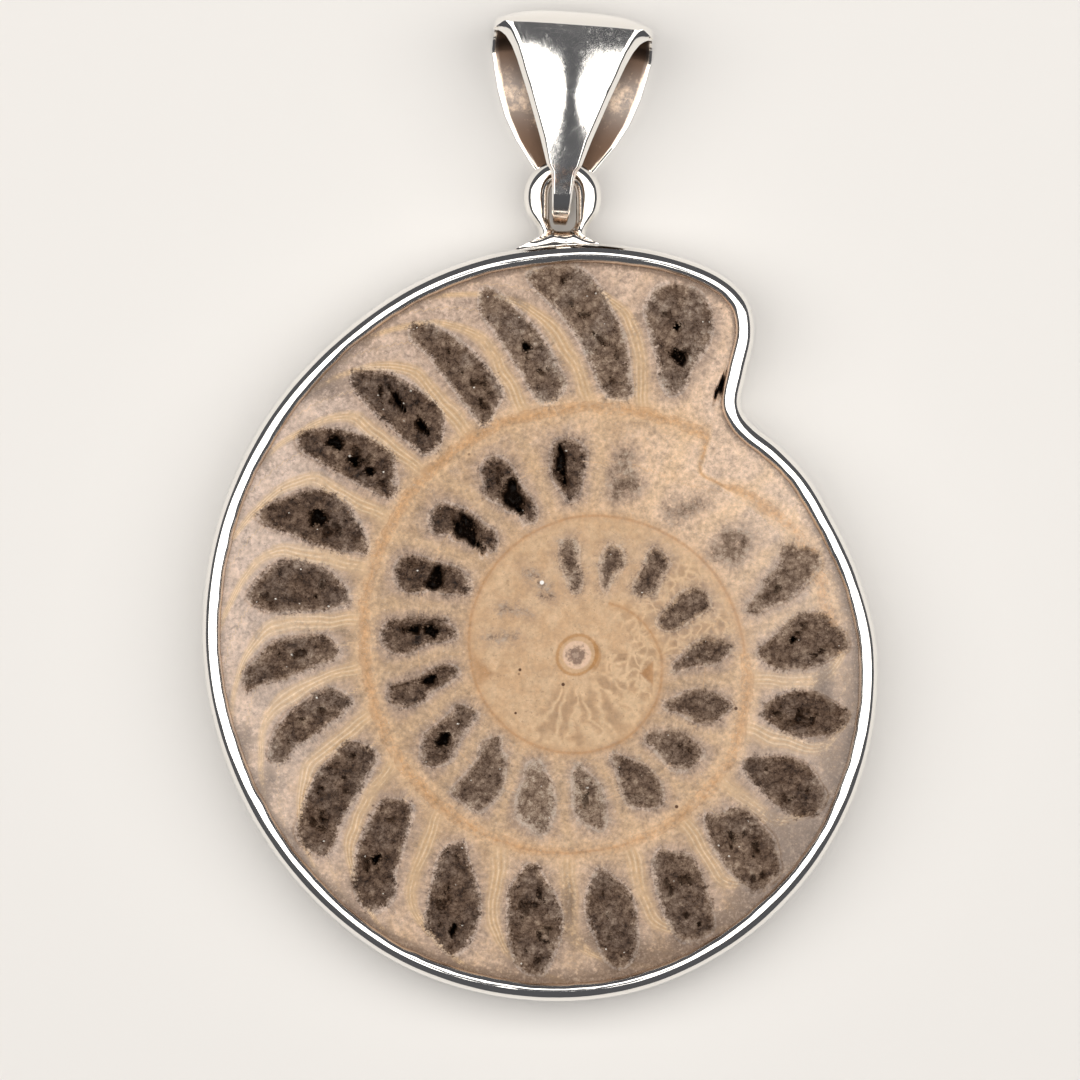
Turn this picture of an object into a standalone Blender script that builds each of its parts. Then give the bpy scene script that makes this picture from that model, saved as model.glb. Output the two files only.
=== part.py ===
"""A polished ammonite slice in a silver bezel, with its hanging loop and its swinging bail.

The pendant lies on its back: +X runs across the face, +Y towards the bail and +Z out of the polished face.
Lengths are metres. The origin is the middle of the footprint, on the surface that the pendant lies on.
Bearings are degrees clockwise from +X, as seen from above, round the middle of the spiral.
"""

import math
import random
from dataclasses import dataclass

import bpy
import numpy as np
from mathutils.geometry import delaunay_2d_cdt

MM = 0.001

# The middle of the shell's spiral, from the middle of the pendant's footprint.
SPIRAL_X = 2.47 * MM
SPIRAL_Y = -9.83 * MM

# Bezel: outer radius at each bearing, in millimetres. The shell's mouth makes the shoulder and the notch.
ROUND_STATIONS = (
    (330, 19.16), (345, 19.37), (0, 19.85), (20, 20.34), (40, 21.04), (60, 21.81), (80, 22.59), (100, 23.08),
    (120, 23.56), (140, 23.78), (160, 24.16), (180, 24.70), (200, 25.28), (220, 25.90), (240, 26.55),
    (255, 27.00), (270, 27.16), (280, 27.18),
)
SHOULDER_STATIONS = (
    (287, 27.06), (291, 26.83), (294, 26.40), (296.5, 25.70), (299, 24.14), (301, 21.70), (303, 19.85),
    (305, 19.32), (308, 19.10), (314, 19.20), (322, 19.27),
)
ROUND_STEPS = 5
SHOULDER_STEPS = 3

BEZEL_HEIGHT = 5.0 * MM
BEZEL_WALL = 0.75 * MM
BEZEL_LIP_REACH = 1.27 * MM
BEZEL_FOOT_CHAMFER = 0.15 * MM
LEDGE_REACH = 1.90 * MM
LEDGE_THICKNESS = 0.60 * MM

SEAT_GAP = 0.15 * MM
SLICE_FACE = 4.30 * MM
SLICE_EDGE_BEVEL = 0.12 * MM
CHAMBER_DEPTH = 0.30 * MM
PALE_CHAMBER_DEPTH = 0.12 * MM
PIT_DEPTH = 1.30 * MM
PIT_TAPER = 0.70
OUTER_CHAMBER_STEPS = 2
INNER_CHAMBER_STEPS = 1
CHAMBER_FRINGE = 0.10 * MM
PIT_POINTS = 8

LOOP_CENTRE = (1.53 * MM, 20.39 * MM)
LOOP_RADIUS = 2.57 * MM
LOOP_PLANE = 2.50 * MM
LOOP_THICKNESS = 1.45 * MM
LOOP_FOOT_THICKNESS = 1.90 * MM
LOOP_HOLE_MIDDLE = -0.58 * MM
LOOP_HOLE_HALF_WIDTH = 0.95 * MM
LOOP_HOLE_HALF_LENGTH = 1.60 * MM
LOOP_HOLE_SQUARENESS = 3.0
LOOP_FOOT_DROP = 0.40 * MM
LOOP_FOOT_SPREAD = 1.35 * MM
LOOP_NECK_TAKE_IN = 0.24
LOOP_HOLE_TAKE_IN = 0.08
LOOP_STATIONS = 44
LOOP_SECTION = 10

BAIL_PIVOT = (1.53 * MM, 21.10 * MM, 2.50 * MM)
BAIL_LEAN = math.radians(4.0)
BAIL_THICKNESS = 0.55 * MM
BAIL_BEND_RADIUS = 2.50 * MM
BAIL_FOLD_RADIUS = 3.25 * MM
BAIL_LENGTH = 14.10 * MM
BAIL_BEVEL_DEPTH = 0.28 * MM
BAIL_BEVEL_WIDTH = 0.25 * MM
BAIL_BEVEL_SPREAD = 0.09
BAIL_FRONT_BULGE = 0.12 * MM
BAIL_CROWN = 0.95 * MM
BAIL_CROWN_POWER = 3.2
BAIL_CROWN_START = 8.0 * MM
BAIL_FOLD_HALF_WIDTH = 5.20 * MM

# The bail's half width at each height above its pivot, in millimetres: the front tapers straight to a tongue, and
# the back is a wider leaf.
BAIL_FRONT_WIDTHS = (
    (-2.5, 0.45), (-1.9, 0.54), (-0.3, 0.68), (1.0, 0.86), (1.3, 1.12), (3.0, 1.69), (5.7, 2.67), (8.1, 3.59),
    (9.0, 3.99), (9.8, 4.47), (10.5, 4.96), (11.6, 5.20),
)
BAIL_BACK_WIDTHS = (
    (-2.5, 0.45), (-0.3, 0.66), (0.2, 0.76), (1.0, 1.78), (1.3, 2.05), (2.0, 2.54), (3.0, 3.27), (4.5, 4.10),
    (6.2, 4.71), (7.7, 5.06), (9.2, 5.30), (10.1, 5.30), (11.6, 5.20),
)
BAIL_BEND_STEPS = 10
BAIL_FRONT_STEPS = 8
BAIL_FOLD_STEPS = 12
BAIL_BACK_STEPS = 8

SILVER = ((0.86, 0.84, 0.80, 1.0), 0.12, 1.0)
TARNISHED_SILVER = ((0.78, 0.74, 0.68, 1.0), 0.18, 1.0)
FOSSIL = ((0.48, 0.36, 0.24, 1.0), 0.25, 0.0)


@dataclass(frozen=True)
class Chamber:
    """A gas chamber of the shell, filled with dark crystal.

    edge is its outline, as bearings in degrees and distances from the spiral's middle in millimetres: from its inner
    end out along the side of lower bearing, round its outer end and back.
    """

    edge: tuple
    depth: float = CHAMBER_DEPTH


@dataclass(frozen=True)
class Pit:
    """An open pit in a chamber's filling: its bearing, radius, length along the radius and width in millimetres."""

    bearing: float
    radius: float
    length: float
    width: float


OUTER_WHORL = (
    Chamber(((345, 11.5), (341, 12.6), (337.5, 13.7), (335.6, 14.7), (331.8, 15.4), (333.5, 16.1), (337.3, 17.3),
        (340.5, 17.0), (343, 15.6), (345.5, 14.5), (346, 13.2), (347.6, 12.0))),
    Chamber(((359.5, 11.9), (356, 12.7), (353, 13.5), (350.2, 14.5), (349.8, 15.5), (351, 16.6), (354, 17.3),
        (356, 17.8), (359, 17.9), (360.5, 17.0), (362.5, 15.8), (363.8, 14.6), (364, 13.5), (362.8, 12.6))),
    Chamber(((15.5, 12.8), (12, 13.5), (9.5, 14.6), (9, 15.6), (9.7, 16.6), (11, 17.6), (12, 18.3), (15.5, 18.1),
        (18, 17.2), (19.8, 16.2), (20.4, 15.0), (19.8, 13.9), (18.5, 13.0))),
    Chamber(((31.5, 13.1), (29, 13.9), (26.5, 15.0), (25.5, 16.2), (26, 17.2), (28, 18.2), (29.5, 18.9), (34, 18.9),
        (36.5, 18.0), (37, 17.0), (36.5, 15.5), (35.8, 14.2), (34.5, 13.3))),
    Chamber(((51, 13.5), (48.5, 14.2), (44.5, 14.4), (42.5, 15.2), (42.6, 16.5), (43, 17.7), (45, 18.8), (46.5, 19.6),
        (52.8, 19.6), (54.2, 18.5), (54.8, 17.0), (54.5, 15.5), (53.5, 14.3))),
    Chamber(((67, 14.0), (63.5, 14.6), (61, 15.1), (60.3, 16.2), (61, 17.5), (61.7, 18.6), (62.5, 19.8), (64, 20.4),
        (69.5, 20.2), (71, 18.8), (71.3, 17.2), (71, 15.8), (70, 14.7))),
    Chamber(((84, 14.2), (80.5, 14.9), (78, 15.8), (77, 17.0), (77.3, 18.2), (78, 19.4), (79.5, 20.4), (82, 20.9),
        (85, 20.0), (86, 18.8), (87.6, 17.6), (88, 16.5), (86.8, 15.2))),
    Chamber(((101, 14.1), (97.5, 15.2), (95, 16.0), (93.5, 16.9), (93, 18.0), (93.8, 19.2), (95, 20.4), (96.5, 21.3),
        (100.5, 21.0), (102.5, 20.0), (104, 18.8), (105.2, 17.5), (106, 16.3), (104.5, 15.0), (103, 14.2))),
    Chamber(((121, 14.5), (118, 15.3), (114.5, 16.2), (112, 17.2), (110.5, 18.3), (110.3, 19.5), (111, 20.7),
        (113, 21.5), (116.5, 21.0), (119.3, 20.5), (120.8, 19.3), (122.3, 17.9), (124, 16.6), (124, 15.3))),
    Chamber(((138.5, 14.8), (135.5, 15.4), (133.3, 16.4), (131.5, 17.5), (130, 18.7), (127.5, 19.7), (127.3, 20.7),
        (129.3, 21.8), (133, 21.5), (136, 20.4), (138.8, 19.2), (140.5, 18.0), (142.3, 16.8), (143, 15.9),
        (141, 15.2))),
    Chamber(((153.5, 14.8), (150.8, 15.7), (148.3, 16.8), (146.3, 18.0), (144.3, 19.4), (141.5, 20.7), (142, 21.6),
        (147, 22.0), (150, 21.0), (153, 19.9), (155.8, 18.5), (157.3, 17.5), (159.3, 16.3), (157.2, 15.3))),
    Chamber(((168.5, 15.2), (165.7, 16.2), (164.3, 17.3), (162.8, 18.5), (161.8, 19.6), (160, 20.6), (161, 21.4),
        (163.5, 21.1), (166, 20.4), (168.7, 19.4), (170, 18.4), (171.8, 17.3), (172.3, 16.5), (170.3, 15.5))),
    Chamber(((180, 15.7), (178.3, 16.7), (176.8, 18.0), (175.3, 19.4), (174.7, 20.7), (174, 21.9), (177, 22.0),
        (179.5, 21.0), (182, 20.2), (183.3, 18.9), (184.3, 17.6), (184.3, 16.6), (182.3, 15.9))),
    Chamber(((193, 15.5), (190.7, 16.5), (189.5, 17.8), (188.5, 19.2), (187.9, 20.4), (188.5, 21.3), (190, 22.1),
        (193, 21.6), (196, 21.0), (198.3, 20.0), (198.9, 18.8), (199, 17.5), (197.5, 16.6), (195.3, 15.7))),
    Chamber(((206, 15.5), (204.8, 16.2), (203.5, 17.5), (202.9, 19.0), (202.9, 20.5), (202.6, 22.0), (203.6, 23.1),
        (206.5, 22.5), (209, 21.6), (211.5, 20.9), (213.2, 19.7), (213.5, 18.4), (211.5, 17.2), (209, 16.0))),
    Chamber(((220, 16.1), (218.8, 17.2), (218, 18.5), (217.3, 20.0), (216.8, 21.5), (216.7, 22.8), (218.2, 23.4),
        (221, 22.7), (223.3, 21.7), (225.5, 20.4), (226.8, 19.0), (227.3, 17.9), (224.8, 17.0), (222, 16.2))),
    Chamber(((233, 16.6), (231.7, 17.9), (231, 19.3), (230.2, 20.7), (230, 22.0), (230, 23.2), (231.5, 23.8),
        (234, 23.2), (236.3, 22.3), (238.3, 21.0), (240, 19.5), (240.9, 18.2), (239, 17.2), (236, 16.5))),
    Chamber(((247.7, 16.3), (246.3, 17.7), (245.3, 19.2), (244.3, 20.8), (243.5, 22.3), (242.2, 23.6), (243, 24.3),
        (245.5, 24.1), (247.8, 23.0), (250, 21.7), (252, 20.3), (253.6, 19.0), (254.3, 18.0), (252, 17.3),
        (250, 16.6))),
    Chamber(((262, 16.8), (260, 17.9), (258.5, 19.3), (257, 20.8), (255.5, 22.3), (254.3, 23.7), (255.5, 25.0),
        (258, 24.3), (260.3, 23.0), (262.5, 21.8), (264.5, 20.5), (266.3, 19.0), (267.7, 18.0), (265.5, 17.0))),
    Chamber(((277.5, 17.1), (274.8, 18.0), (272.2, 19.6), (270, 21.0), (268, 22.2), (265.5, 23.4), (263.2, 24.5),
        (262.6, 25.3), (266, 25.7), (270.5, 25.5), (273.5, 24.3), (276, 22.7), (278.5, 21.3), (280, 19.8),
        (281.3, 18.3), (281.8, 17.5))),
    Chamber(((289.8, 18.3), (287, 18.9), (285.8, 20.0), (284, 21.0), (282.5, 22.0), (281.2, 23.3), (282.5, 24.8),
        (284.5, 25.3), (288, 25.4), (291, 24.6), (292.8, 23.2), (292.8, 21.8), (291.8, 20.5), (292, 19.0))),
)
MIDDLE_WHORL = (
    Chamber(((6.5, 6.4), (2, 6.8), (-3, 7.3), (-6, 8.0), (-7, 8.6), (-5.5, 9.5), (-3.5, 10.3), (-0.5, 10.0),
        (3.5, 9.3), (5, 8.5), (5.7, 7.8), (8, 7.1), (9, 6.6))),
    Chamber(((28, 6.6), (23.5, 7.1), (19, 7.6), (15.5, 8.3), (15, 9.2), (16, 10.0), (18, 10.8), (22, 10.5),
        (26.5, 10.0), (29.5, 9.2), (29.5, 8.2), (30, 7.5), (31.5, 6.9))),
    Chamber(((47.5, 7.0), (42, 7.5), (38, 8.0), (36.3, 8.8), (36.5, 9.8), (37.5, 10.6), (41.5, 10.7), (46.5, 10.4),
        (49.8, 9.8), (50.5, 8.8), (51, 7.9), (51.5, 7.2))),
    Chamber(((69, 7.0), (65, 7.5), (61, 8.1), (58, 8.7), (57, 9.5), (57.3, 10.4), (59.5, 11.3), (62.5, 11.4),
        (66.5, 11.0), (70.5, 10.5), (72, 9.6), (71.5, 8.7), (71.5, 7.8), (71.8, 7.1))),
    Chamber(((89, 7.3), (85, 7.8), (81, 8.5), (79, 9.3), (79, 10.3), (80, 11.2), (82, 11.7), (86, 11.2), (90, 10.7),
        (91.5, 9.7), (92, 8.6), (92, 7.9))),
    Chamber(((110, 7.4), (105, 8.0), (101, 8.6), (99, 9.3), (98.2, 10.3), (99, 11.3), (101, 12.1), (105, 11.8),
        (109.5, 11.5), (112, 10.8), (113, 9.8), (113, 8.8), (114.5, 8.0))),
    Chamber(((132.5, 7.4), (129, 8.0), (124.5, 8.3), (122, 8.9), (120, 9.7), (119.3, 10.6), (120.5, 11.5),
        (122.5, 12.3), (127.5, 12.3), (132.7, 12.3), (132.8, 11.3), (132.8, 10.3), (133.5, 9.4), (136.5, 8.6),
        (135.5, 7.8))),
    Chamber(((150, 7.6), (147.5, 8.2), (146, 8.9), (144.5, 9.6), (142.3, 10.2), (140.3, 11.0), (141.8, 12.0),
        (144.5, 12.4), (148.5, 12.0), (152.5, 11.3), (153.5, 10.2), (155, 9.3), (157.5, 8.5), (154, 8.0))),
    Chamber(((172, 7.9), (169.5, 8.3), (167.3, 9.0), (166.3, 9.8), (163.8, 10.4), (162.8, 11.3), (163.5, 12.3),
        (166.5, 12.8), (170, 12.6), (171.3, 11.6), (172.5, 10.5), (174.3, 9.6), (175.8, 8.8), (175, 8.2))),
    Chamber(((188.5, 8.0), (186.3, 8.6), (185, 9.3), (184, 10.0), (181.3, 10.8), (180, 11.6), (181.8, 12.5),
        (184.5, 13.0), (189, 12.8), (191.5, 12.0), (193.3, 11.0), (194.5, 10.0), (195.8, 9.0), (193, 8.7),
        (191.5, 8.2))),
    Chamber(((209, 8.2), (206.5, 9.0), (204.5, 9.7), (204, 10.6), (201.5, 11.3), (200.3, 12.0), (202, 12.9),
        (205, 13.3), (209.5, 13.2), (212, 12.3), (213, 11.3), (215, 10.3), (216.3, 9.4), (214.5, 8.7), (212, 8.3))),
    Chamber(((231.5, 8.8), (229.5, 9.5), (226.5, 10.2), (225, 11.0), (223.5, 11.7), (220.3, 12.2), (221.5, 12.9),
        (224.5, 13.5), (228.5, 13.3), (231, 12.4), (233.3, 11.5), (234.3, 10.6), (236.5, 9.7), (234.5, 9.1))),
    Chamber(((251, 9.2), (248.5, 9.9), (245.5, 10.5), (243, 11.3), (240.3, 12.0), (241.5, 13.0), (243.3, 14.0),
        (247, 14.2), (250, 13.5), (251.3, 12.5), (252, 11.6), (253.8, 10.7), (254.5, 9.9), (253.5, 9.4))),
    Chamber(((267, 10.1), (264.8, 10.8), (262.5, 11.7), (262, 12.6), (262.8, 13.5), (265, 14.3), (269, 14.2),
        (272.5, 13.6), (273, 13.0), (272, 12.0), (271.5, 11.2), (270, 10.4))),
    Chamber(((283.5, 10.5), (281.5, 11.2), (280.5, 12.1), (281.5, 12.9), (282, 13.6), (285, 13.9), (286, 12.9),
        (289.5, 12.3), (291.5, 11.7), (289, 11.4), (286.5, 11.0)), PALE_CHAMBER_DEPTH),
    Chamber(((304, 10.7), (300.5, 11.2), (301.5, 12.0), (305, 12.4), (307.5, 13.3), (309.8, 13.2), (310, 12.2),
        (308.5, 11.5), (308, 10.8)), PALE_CHAMBER_DEPTH),
    Chamber(((323, 10.9), (321.3, 11.7), (319.8, 12.6), (321, 13.2), (325.5, 13.9), (328, 13.3), (330.5, 12.5),
        (329, 11.9), (326.5, 11.4)), PALE_CHAMBER_DEPTH),
)
INNER_WHORL = (
    Chamber(((339, 5.7), (335, 6.1), (332.5, 6.9), (330, 7.6), (329.3, 8.3), (331, 9.0), (334, 9.4), (340, 9.4),
        (342, 8.5), (343.5, 7.6), (346, 6.8), (345.5, 6.2), (342.5, 5.8))),
    Chamber(((313, 5.6), (309, 5.9), (308, 6.7), (306.5, 7.4), (305, 8.1), (306, 8.7), (310, 8.8), (315.5, 8.6),
        (317, 7.9), (319.5, 7.2), (322, 6.5), (320, 6.0), (317, 5.7))),
    Chamber(((293.5, 4.6), (289.5, 4.9), (286.5, 5.5), (284.5, 6.1), (285, 6.9), (287, 7.5), (290.5, 7.6), (295, 7.4),
        (298, 6.9), (297, 6.3), (294.5, 5.7), (296, 5.1))),
    Chamber(((268.5, 4.1), (264.5, 4.5), (262.5, 5.2), (260.5, 6.0), (260.5, 6.8), (262.5, 7.5), (267, 7.6),
        (270.5, 7.2), (270.5, 6.4), (272, 5.6), (274, 5.0), (272.5, 4.4))),
    Chamber(((246, 4.0), (241, 4.3), (240, 5.2), (238, 5.9), (239.5, 6.4), (242.5, 6.1), (244, 5.4),
        (247, 4.6)), PALE_CHAMBER_DEPTH),
)
CHAMBERS = OUTER_WHORL + MIDDLE_WHORL + INNER_WHORL

PITS = (
    Pit(289.2, 20.9, 0.75, 1.00),
    Pit(221.4, 21.3, 0.95, 0.75),
    Pit(221.0, 19.5, 0.85, 0.55),
    Pit(207.9, 19.4, 1.15, 0.85),
    Pit(234.8, 20.6, 1.40, 0.40),
    Pit(235.9, 18.2, 0.90, 0.50),
    Pit(115.5, 19.5, 0.85, 0.50),
    Pit(266.0, 12.5, 1.75, 0.70),
    Pit(247.7, 11.3, 1.60, 0.95),
    Pit(228.7, 11.0, 1.80, 0.95),
    Pit(208.4, 10.6, 0.98, 1.20),
    Pit(189.4, 10.1, 1.10, 0.75),
    Pit(169.6, 10.0, 0.90, 0.60),
    Pit(148.0, 10.4, 0.90, 0.75),
)


def clear_scene():
    """Removes everything that the startup scene holds."""
    for existing in list(bpy.data.objects):
        bpy.data.objects.remove(existing, do_unlink=True)


def material(name, finish):
    """A Principled material from (colour, roughness, metallic)."""
    colour, roughness, metallic = finish
    made = bpy.data.materials.new(name)
    made.use_nodes = True
    shader = made.node_tree.nodes["Principled BSDF"]
    shader.inputs["Base Color"].default_value = colour
    shader.inputs["Roughness"].default_value = roughness
    shader.inputs["Metallic"].default_value = metallic
    made.diffuse_color = colour
    return made


def signed_volume(points, faces):
    """Six times the volume inside a closed mesh, above zero where its faces point outwards."""
    total = 0.0
    for face in faces:
        first = points[face[0]]
        for here, there in zip(face[1:-1], face[2:]):
            total += float(np.dot(first, np.cross(points[here], points[there])))
    return total


def add_object(name, points, faces, finish, smooth_angle=35.0):
    """Makes one named object of a closed mesh, with its faces turned outwards."""
    points = np.asarray(points, float)
    if signed_volume(points, faces) < 0:
        faces = [tuple(reversed(face)) for face in faces]
    mesh = bpy.data.meshes.new(name)
    mesh.from_pydata([tuple(point) for point in points], [], [tuple(face) for face in faces])
    mesh.materials.append(material(name, finish))
    mesh.shade_smooth()
    mesh.set_sharp_from_angle(angle=math.radians(smooth_angle))
    made = bpy.data.objects.new(name, mesh)
    bpy.context.scene.collection.objects.link(made)
    return made


def tube_faces(rings, across, closed_rings):
    """Quads between neighbouring rings of points, with each ring closed on itself."""
    last = rings if closed_rings else rings - 1
    faces = []
    for ring in range(last):
        after = (ring + 1) % rings
        for index in range(across):
            beside = (index + 1) % across
            faces.append((
                ring * across + index,
                ring * across + beside,
                after * across + beside,
                after * across + index,
            ))
    return faces


def polar(bearing, radius):
    """The point at a bearing in degrees and a radius in metres from the spiral's middle."""
    turn = math.radians(bearing)
    return np.array((SPIRAL_X + radius * math.cos(turn), SPIRAL_Y - radius * math.sin(turn)))


def curve_between(before, start, end, after, steps):
    """Points from start up to, but not at, end on the centripetal Catmull-Rom curve through four points."""
    knots = [0.0]
    for here, there in ((before, start), (start, end), (end, after)):
        knots.append(knots[-1] + math.sqrt(np.linalg.norm(there - here)))
    points = []
    for step in range(steps):
        t = knots[1] + (knots[2] - knots[1]) * step / steps
        a1 = before + (start - before) * (t - knots[0]) / (knots[1] - knots[0])
        a2 = start + (end - start) * (t - knots[1]) / (knots[2] - knots[1])
        a3 = end + (after - end) * (t - knots[2]) / (knots[3] - knots[2])
        b1 = a1 + (a2 - a1) * (t - knots[0]) / (knots[2] - knots[0])
        b2 = a2 + (a3 - a2) * (t - knots[1]) / (knots[3] - knots[1])
        points.append(b1 + (b2 - b1) * (t - knots[1]) / (knots[2] - knots[1]))
    return points


def bezel_outline():
    """The bezel's outer edge as seen from above, clockwise, with the inward direction at each point."""
    stations = ROUND_STATIONS + SHOULDER_STATIONS
    corners = [polar(bearing, radius * MM) for bearing, radius in stations]
    count = len(corners)
    points = []
    for index in range(count):
        steps = ROUND_STEPS if index < len(ROUND_STATIONS) else SHOULDER_STEPS
        points += curve_between(
            corners[index - 1], corners[index], corners[(index + 1) % count], corners[(index + 2) % count], steps
        )
    points = np.array(points)
    along = np.roll(points, -1, axis=0) - np.roll(points, 1, axis=0)
    along /= np.linalg.norm(along, axis=1)[:, None]
    inward = np.column_stack((along[:, 1], -along[:, 0]))
    return points, inward


def bezel_section():
    """The wall's section as (distance in from the outer edge, height), from the foot up over the rolled lip."""
    return (
        (0.0, 2.0 * BEZEL_FOOT_CHAMFER),
        (0.0, BEZEL_HEIGHT - 0.62 * MM),
        (0.10 * MM, BEZEL_HEIGHT - 0.26 * MM),
        (0.34 * MM, BEZEL_HEIGHT - 0.05 * MM),
        (0.62 * MM, BEZEL_HEIGHT),
        (0.92 * MM, BEZEL_HEIGHT - 0.10 * MM),
        (1.16 * MM, BEZEL_HEIGHT - 0.30 * MM),
        (BEZEL_LIP_REACH, BEZEL_HEIGHT - 0.45 * MM),
        (BEZEL_LIP_REACH, SLICE_FACE + SEAT_GAP),
        (BEZEL_WALL, SLICE_FACE + SEAT_GAP),
        (BEZEL_WALL, LEDGE_THICKNESS),
        (LEDGE_REACH, LEDGE_THICKNESS),
        (LEDGE_REACH, 0.0),
        (BEZEL_FOOT_CHAMFER, 0.0),
    )


def make_bezel(outline, inward):
    """Carries the wall's section round the outline."""
    section = bezel_section()
    points = []
    for edge, direction in zip(outline, inward):
        for reach, height in section:
            place = edge + direction * reach
            points.append((place[0], place[1], height))
    return add_object("bezel", points, tube_faces(len(outline), len(section), True), SILVER)


def chamber_outline(chamber, dice):
    """A chamber's edge: a smooth curve through its stations, with the short teeth of its crystal fringe."""
    stations = [polar(bearing, radius * MM) for bearing, radius in chamber.edge]
    steps = OUTER_CHAMBER_STEPS if chamber in OUTER_WHORL else INNER_CHAMBER_STEPS
    count = len(stations)
    curve = []
    for index in range(count):
        curve += curve_between(
            stations[index - 1], stations[index], stations[(index + 1) % count], stations[(index + 2) % count], steps
        )
    points = []
    for index, place in enumerate(curve):
        along = curve[(index + 1) % len(curve)] - curve[index - 1]
        outwards = np.array((-along[1], along[0])) / np.linalg.norm(along)
        points.append(place + outwards * CHAMBER_FRINGE * ((0.5 if index % 2 else -0.5) + dice.uniform(-0.5, 0.5)))
    return points


def pit_outline(pit, dice):
    """A pit's edge: an irregular polygon with its length along the radius."""
    turn = math.radians(pit.bearing)
    outwards = np.array((math.cos(turn), -math.sin(turn)))
    sideways = np.array((-outwards[1], outwards[0]))
    middle = polar(pit.bearing, pit.radius * MM)
    points = []
    for index in range(PIT_POINTS):
        angle = 2 * math.pi * (index + 0.5) / PIT_POINTS
        reach = dice.uniform(0.85, 1.1) * MM / 2
        points.append(
            middle + outwards * pit.length * reach * math.sin(angle) + sideways * pit.width * reach * math.cos(angle)
        )
    return points


def inside(point, loop):
    """True where a point is inside a closed loop of points."""
    crossings = 0
    for here, there in zip(loop, loop[1:] + loop[:1]):
        if (here[1] > point[1]) != (there[1] > point[1]):
            across = here[0] + (point[1] - here[1]) / (there[1] - here[1]) * (there[0] - here[0])
            crossings += across > point[0]
    return crossings % 2 == 1


class Slab:
    """Collects the points and faces of the slice, with one terrace for the face, each chamber and each pit."""

    def __init__(self):
        self.points = []
        self.faces = []
        self.known = {}

    def point(self, x, y, z):
        """The number of a point, which is made once."""
        key = (round(x * 1e8), round(y * 1e8), round(z * 1e8))
        if key not in self.known:
            self.known[key] = len(self.points)
            self.points.append((x, y, z))
        return self.known[key]

    def band(self, lower, upper):
        """Quads between two loops of points of one length, going round anticlockwise, facing away from them."""
        count = len(lower)
        for index in range(count):
            beside = (index + 1) % count
            self.faces.append(tuple(self.point(*place) for place in (
                lower[index], lower[beside], upper[beside], upper[index]
            )))


def anticlockwise(loop):
    """The loop, turned to run anticlockwise as seen from above."""
    area = sum(here[0] * there[1] - there[0] * here[1] for here, there in zip(loop, loop[1:] + loop[:1]))
    return loop if area > 0 else loop[::-1]


def at_height(loop, height):
    """The loop's points at one height."""
    return [(float(place[0]), float(place[1]), height) for place in loop]


def shrunk(loop, share):
    """The loop drawn in towards its own middle."""
    middle = sum(loop) / len(loop)
    return [middle + (place - middle) * share for place in loop]


def make_slice(outline, inward):
    """The slab: its polished face, the chambers sunk a little below it, and the open pits in some of them."""
    dice = random.Random(7)
    rim_reach = BEZEL_WALL + SEAT_GAP
    rim = anticlockwise([edge + direction * rim_reach for edge, direction in zip(outline, inward)])
    face_reach = rim_reach + SLICE_EDGE_BEVEL
    face_rim = anticlockwise([edge + direction * face_reach for edge, direction in zip(outline, inward)])
    chambers = [anticlockwise(chamber_outline(chamber, dice)) for chamber in CHAMBERS]
    pits = [anticlockwise(pit_outline(pit, dice)) for pit in PITS]
    base = LEDGE_THICKNESS + SEAT_GAP

    loops = [face_rim] + chambers + pits
    flat = [place for loop in loops for place in loop]
    loop_edges = []
    start = 0
    for loop in loops:
        loop_edges += [(start + index, start + (index + 1) % len(loop)) for index in range(len(loop))]
        start += len(loop)
    flat_mm = [(float(place[0] / MM), float(place[1] / MM)) for place in flat]
    corners, _, triangles, _, _, _ = delaunay_2d_cdt(flat_mm, loop_edges, [], 1, 1e-5)

    floors = [SLICE_FACE - chamber.depth for chamber in CHAMBERS]
    slab = Slab()
    for triangle in triangles:
        places = [np.array(corners[corner]) * MM for corner in triangle]
        middle = sum(places) / 3
        if any(inside(middle, pit) for pit in pits):
            continue
        height = SLICE_FACE
        for chamber, floor in zip(chambers, floors):
            if inside(middle, chamber):
                height = floor
        slab.faces.append(tuple(slab.point(place[0], place[1], height) for place in places))

    for chamber, floor in zip(chambers, floors):
        slab.band(at_height(chamber, SLICE_FACE), at_height(chamber, floor))
    for pit in pits:
        mouth = SLICE_FACE
        for chamber, floor in zip(chambers, floors):
            if inside(sum(pit) / len(pit), chamber):
                mouth = floor
        bottom = at_height(shrunk(pit, PIT_TAPER), mouth - PIT_DEPTH)
        slab.band(at_height(pit, mouth), bottom)
        slab.faces.append(tuple(slab.point(*place) for place in bottom))
    slab.band(at_height(rim, SLICE_FACE - SLICE_EDGE_BEVEL), at_height(face_rim, SLICE_FACE))
    slab.band(at_height(rim, base), at_height(rim, SLICE_FACE - SLICE_EDGE_BEVEL))
    slab.faces.append(tuple(slab.point(*place) for place in reversed(at_height(rim, base))))
    return add_object("ammonite_slice", slab.points, slab.faces, FOSSIL, 20.0)


def loop_outer(turn):
    """The loop's outer edge at an angle from straight down: a ring that narrows to a neck and spreads on the bezel."""
    x = LOOP_RADIUS * math.sin(turn)
    y = -LOOP_RADIUS * math.cos(turn)
    below = max(0.0, math.cos(turn))
    foot = below ** 6
    side = math.copysign(min(1.0, 4 * abs(math.sin(turn))), x)
    x = x * (1 - LOOP_NECK_TAKE_IN * below ** 2) + LOOP_FOOT_SPREAD * foot * side
    return x, y - LOOP_FOOT_DROP * foot


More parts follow.
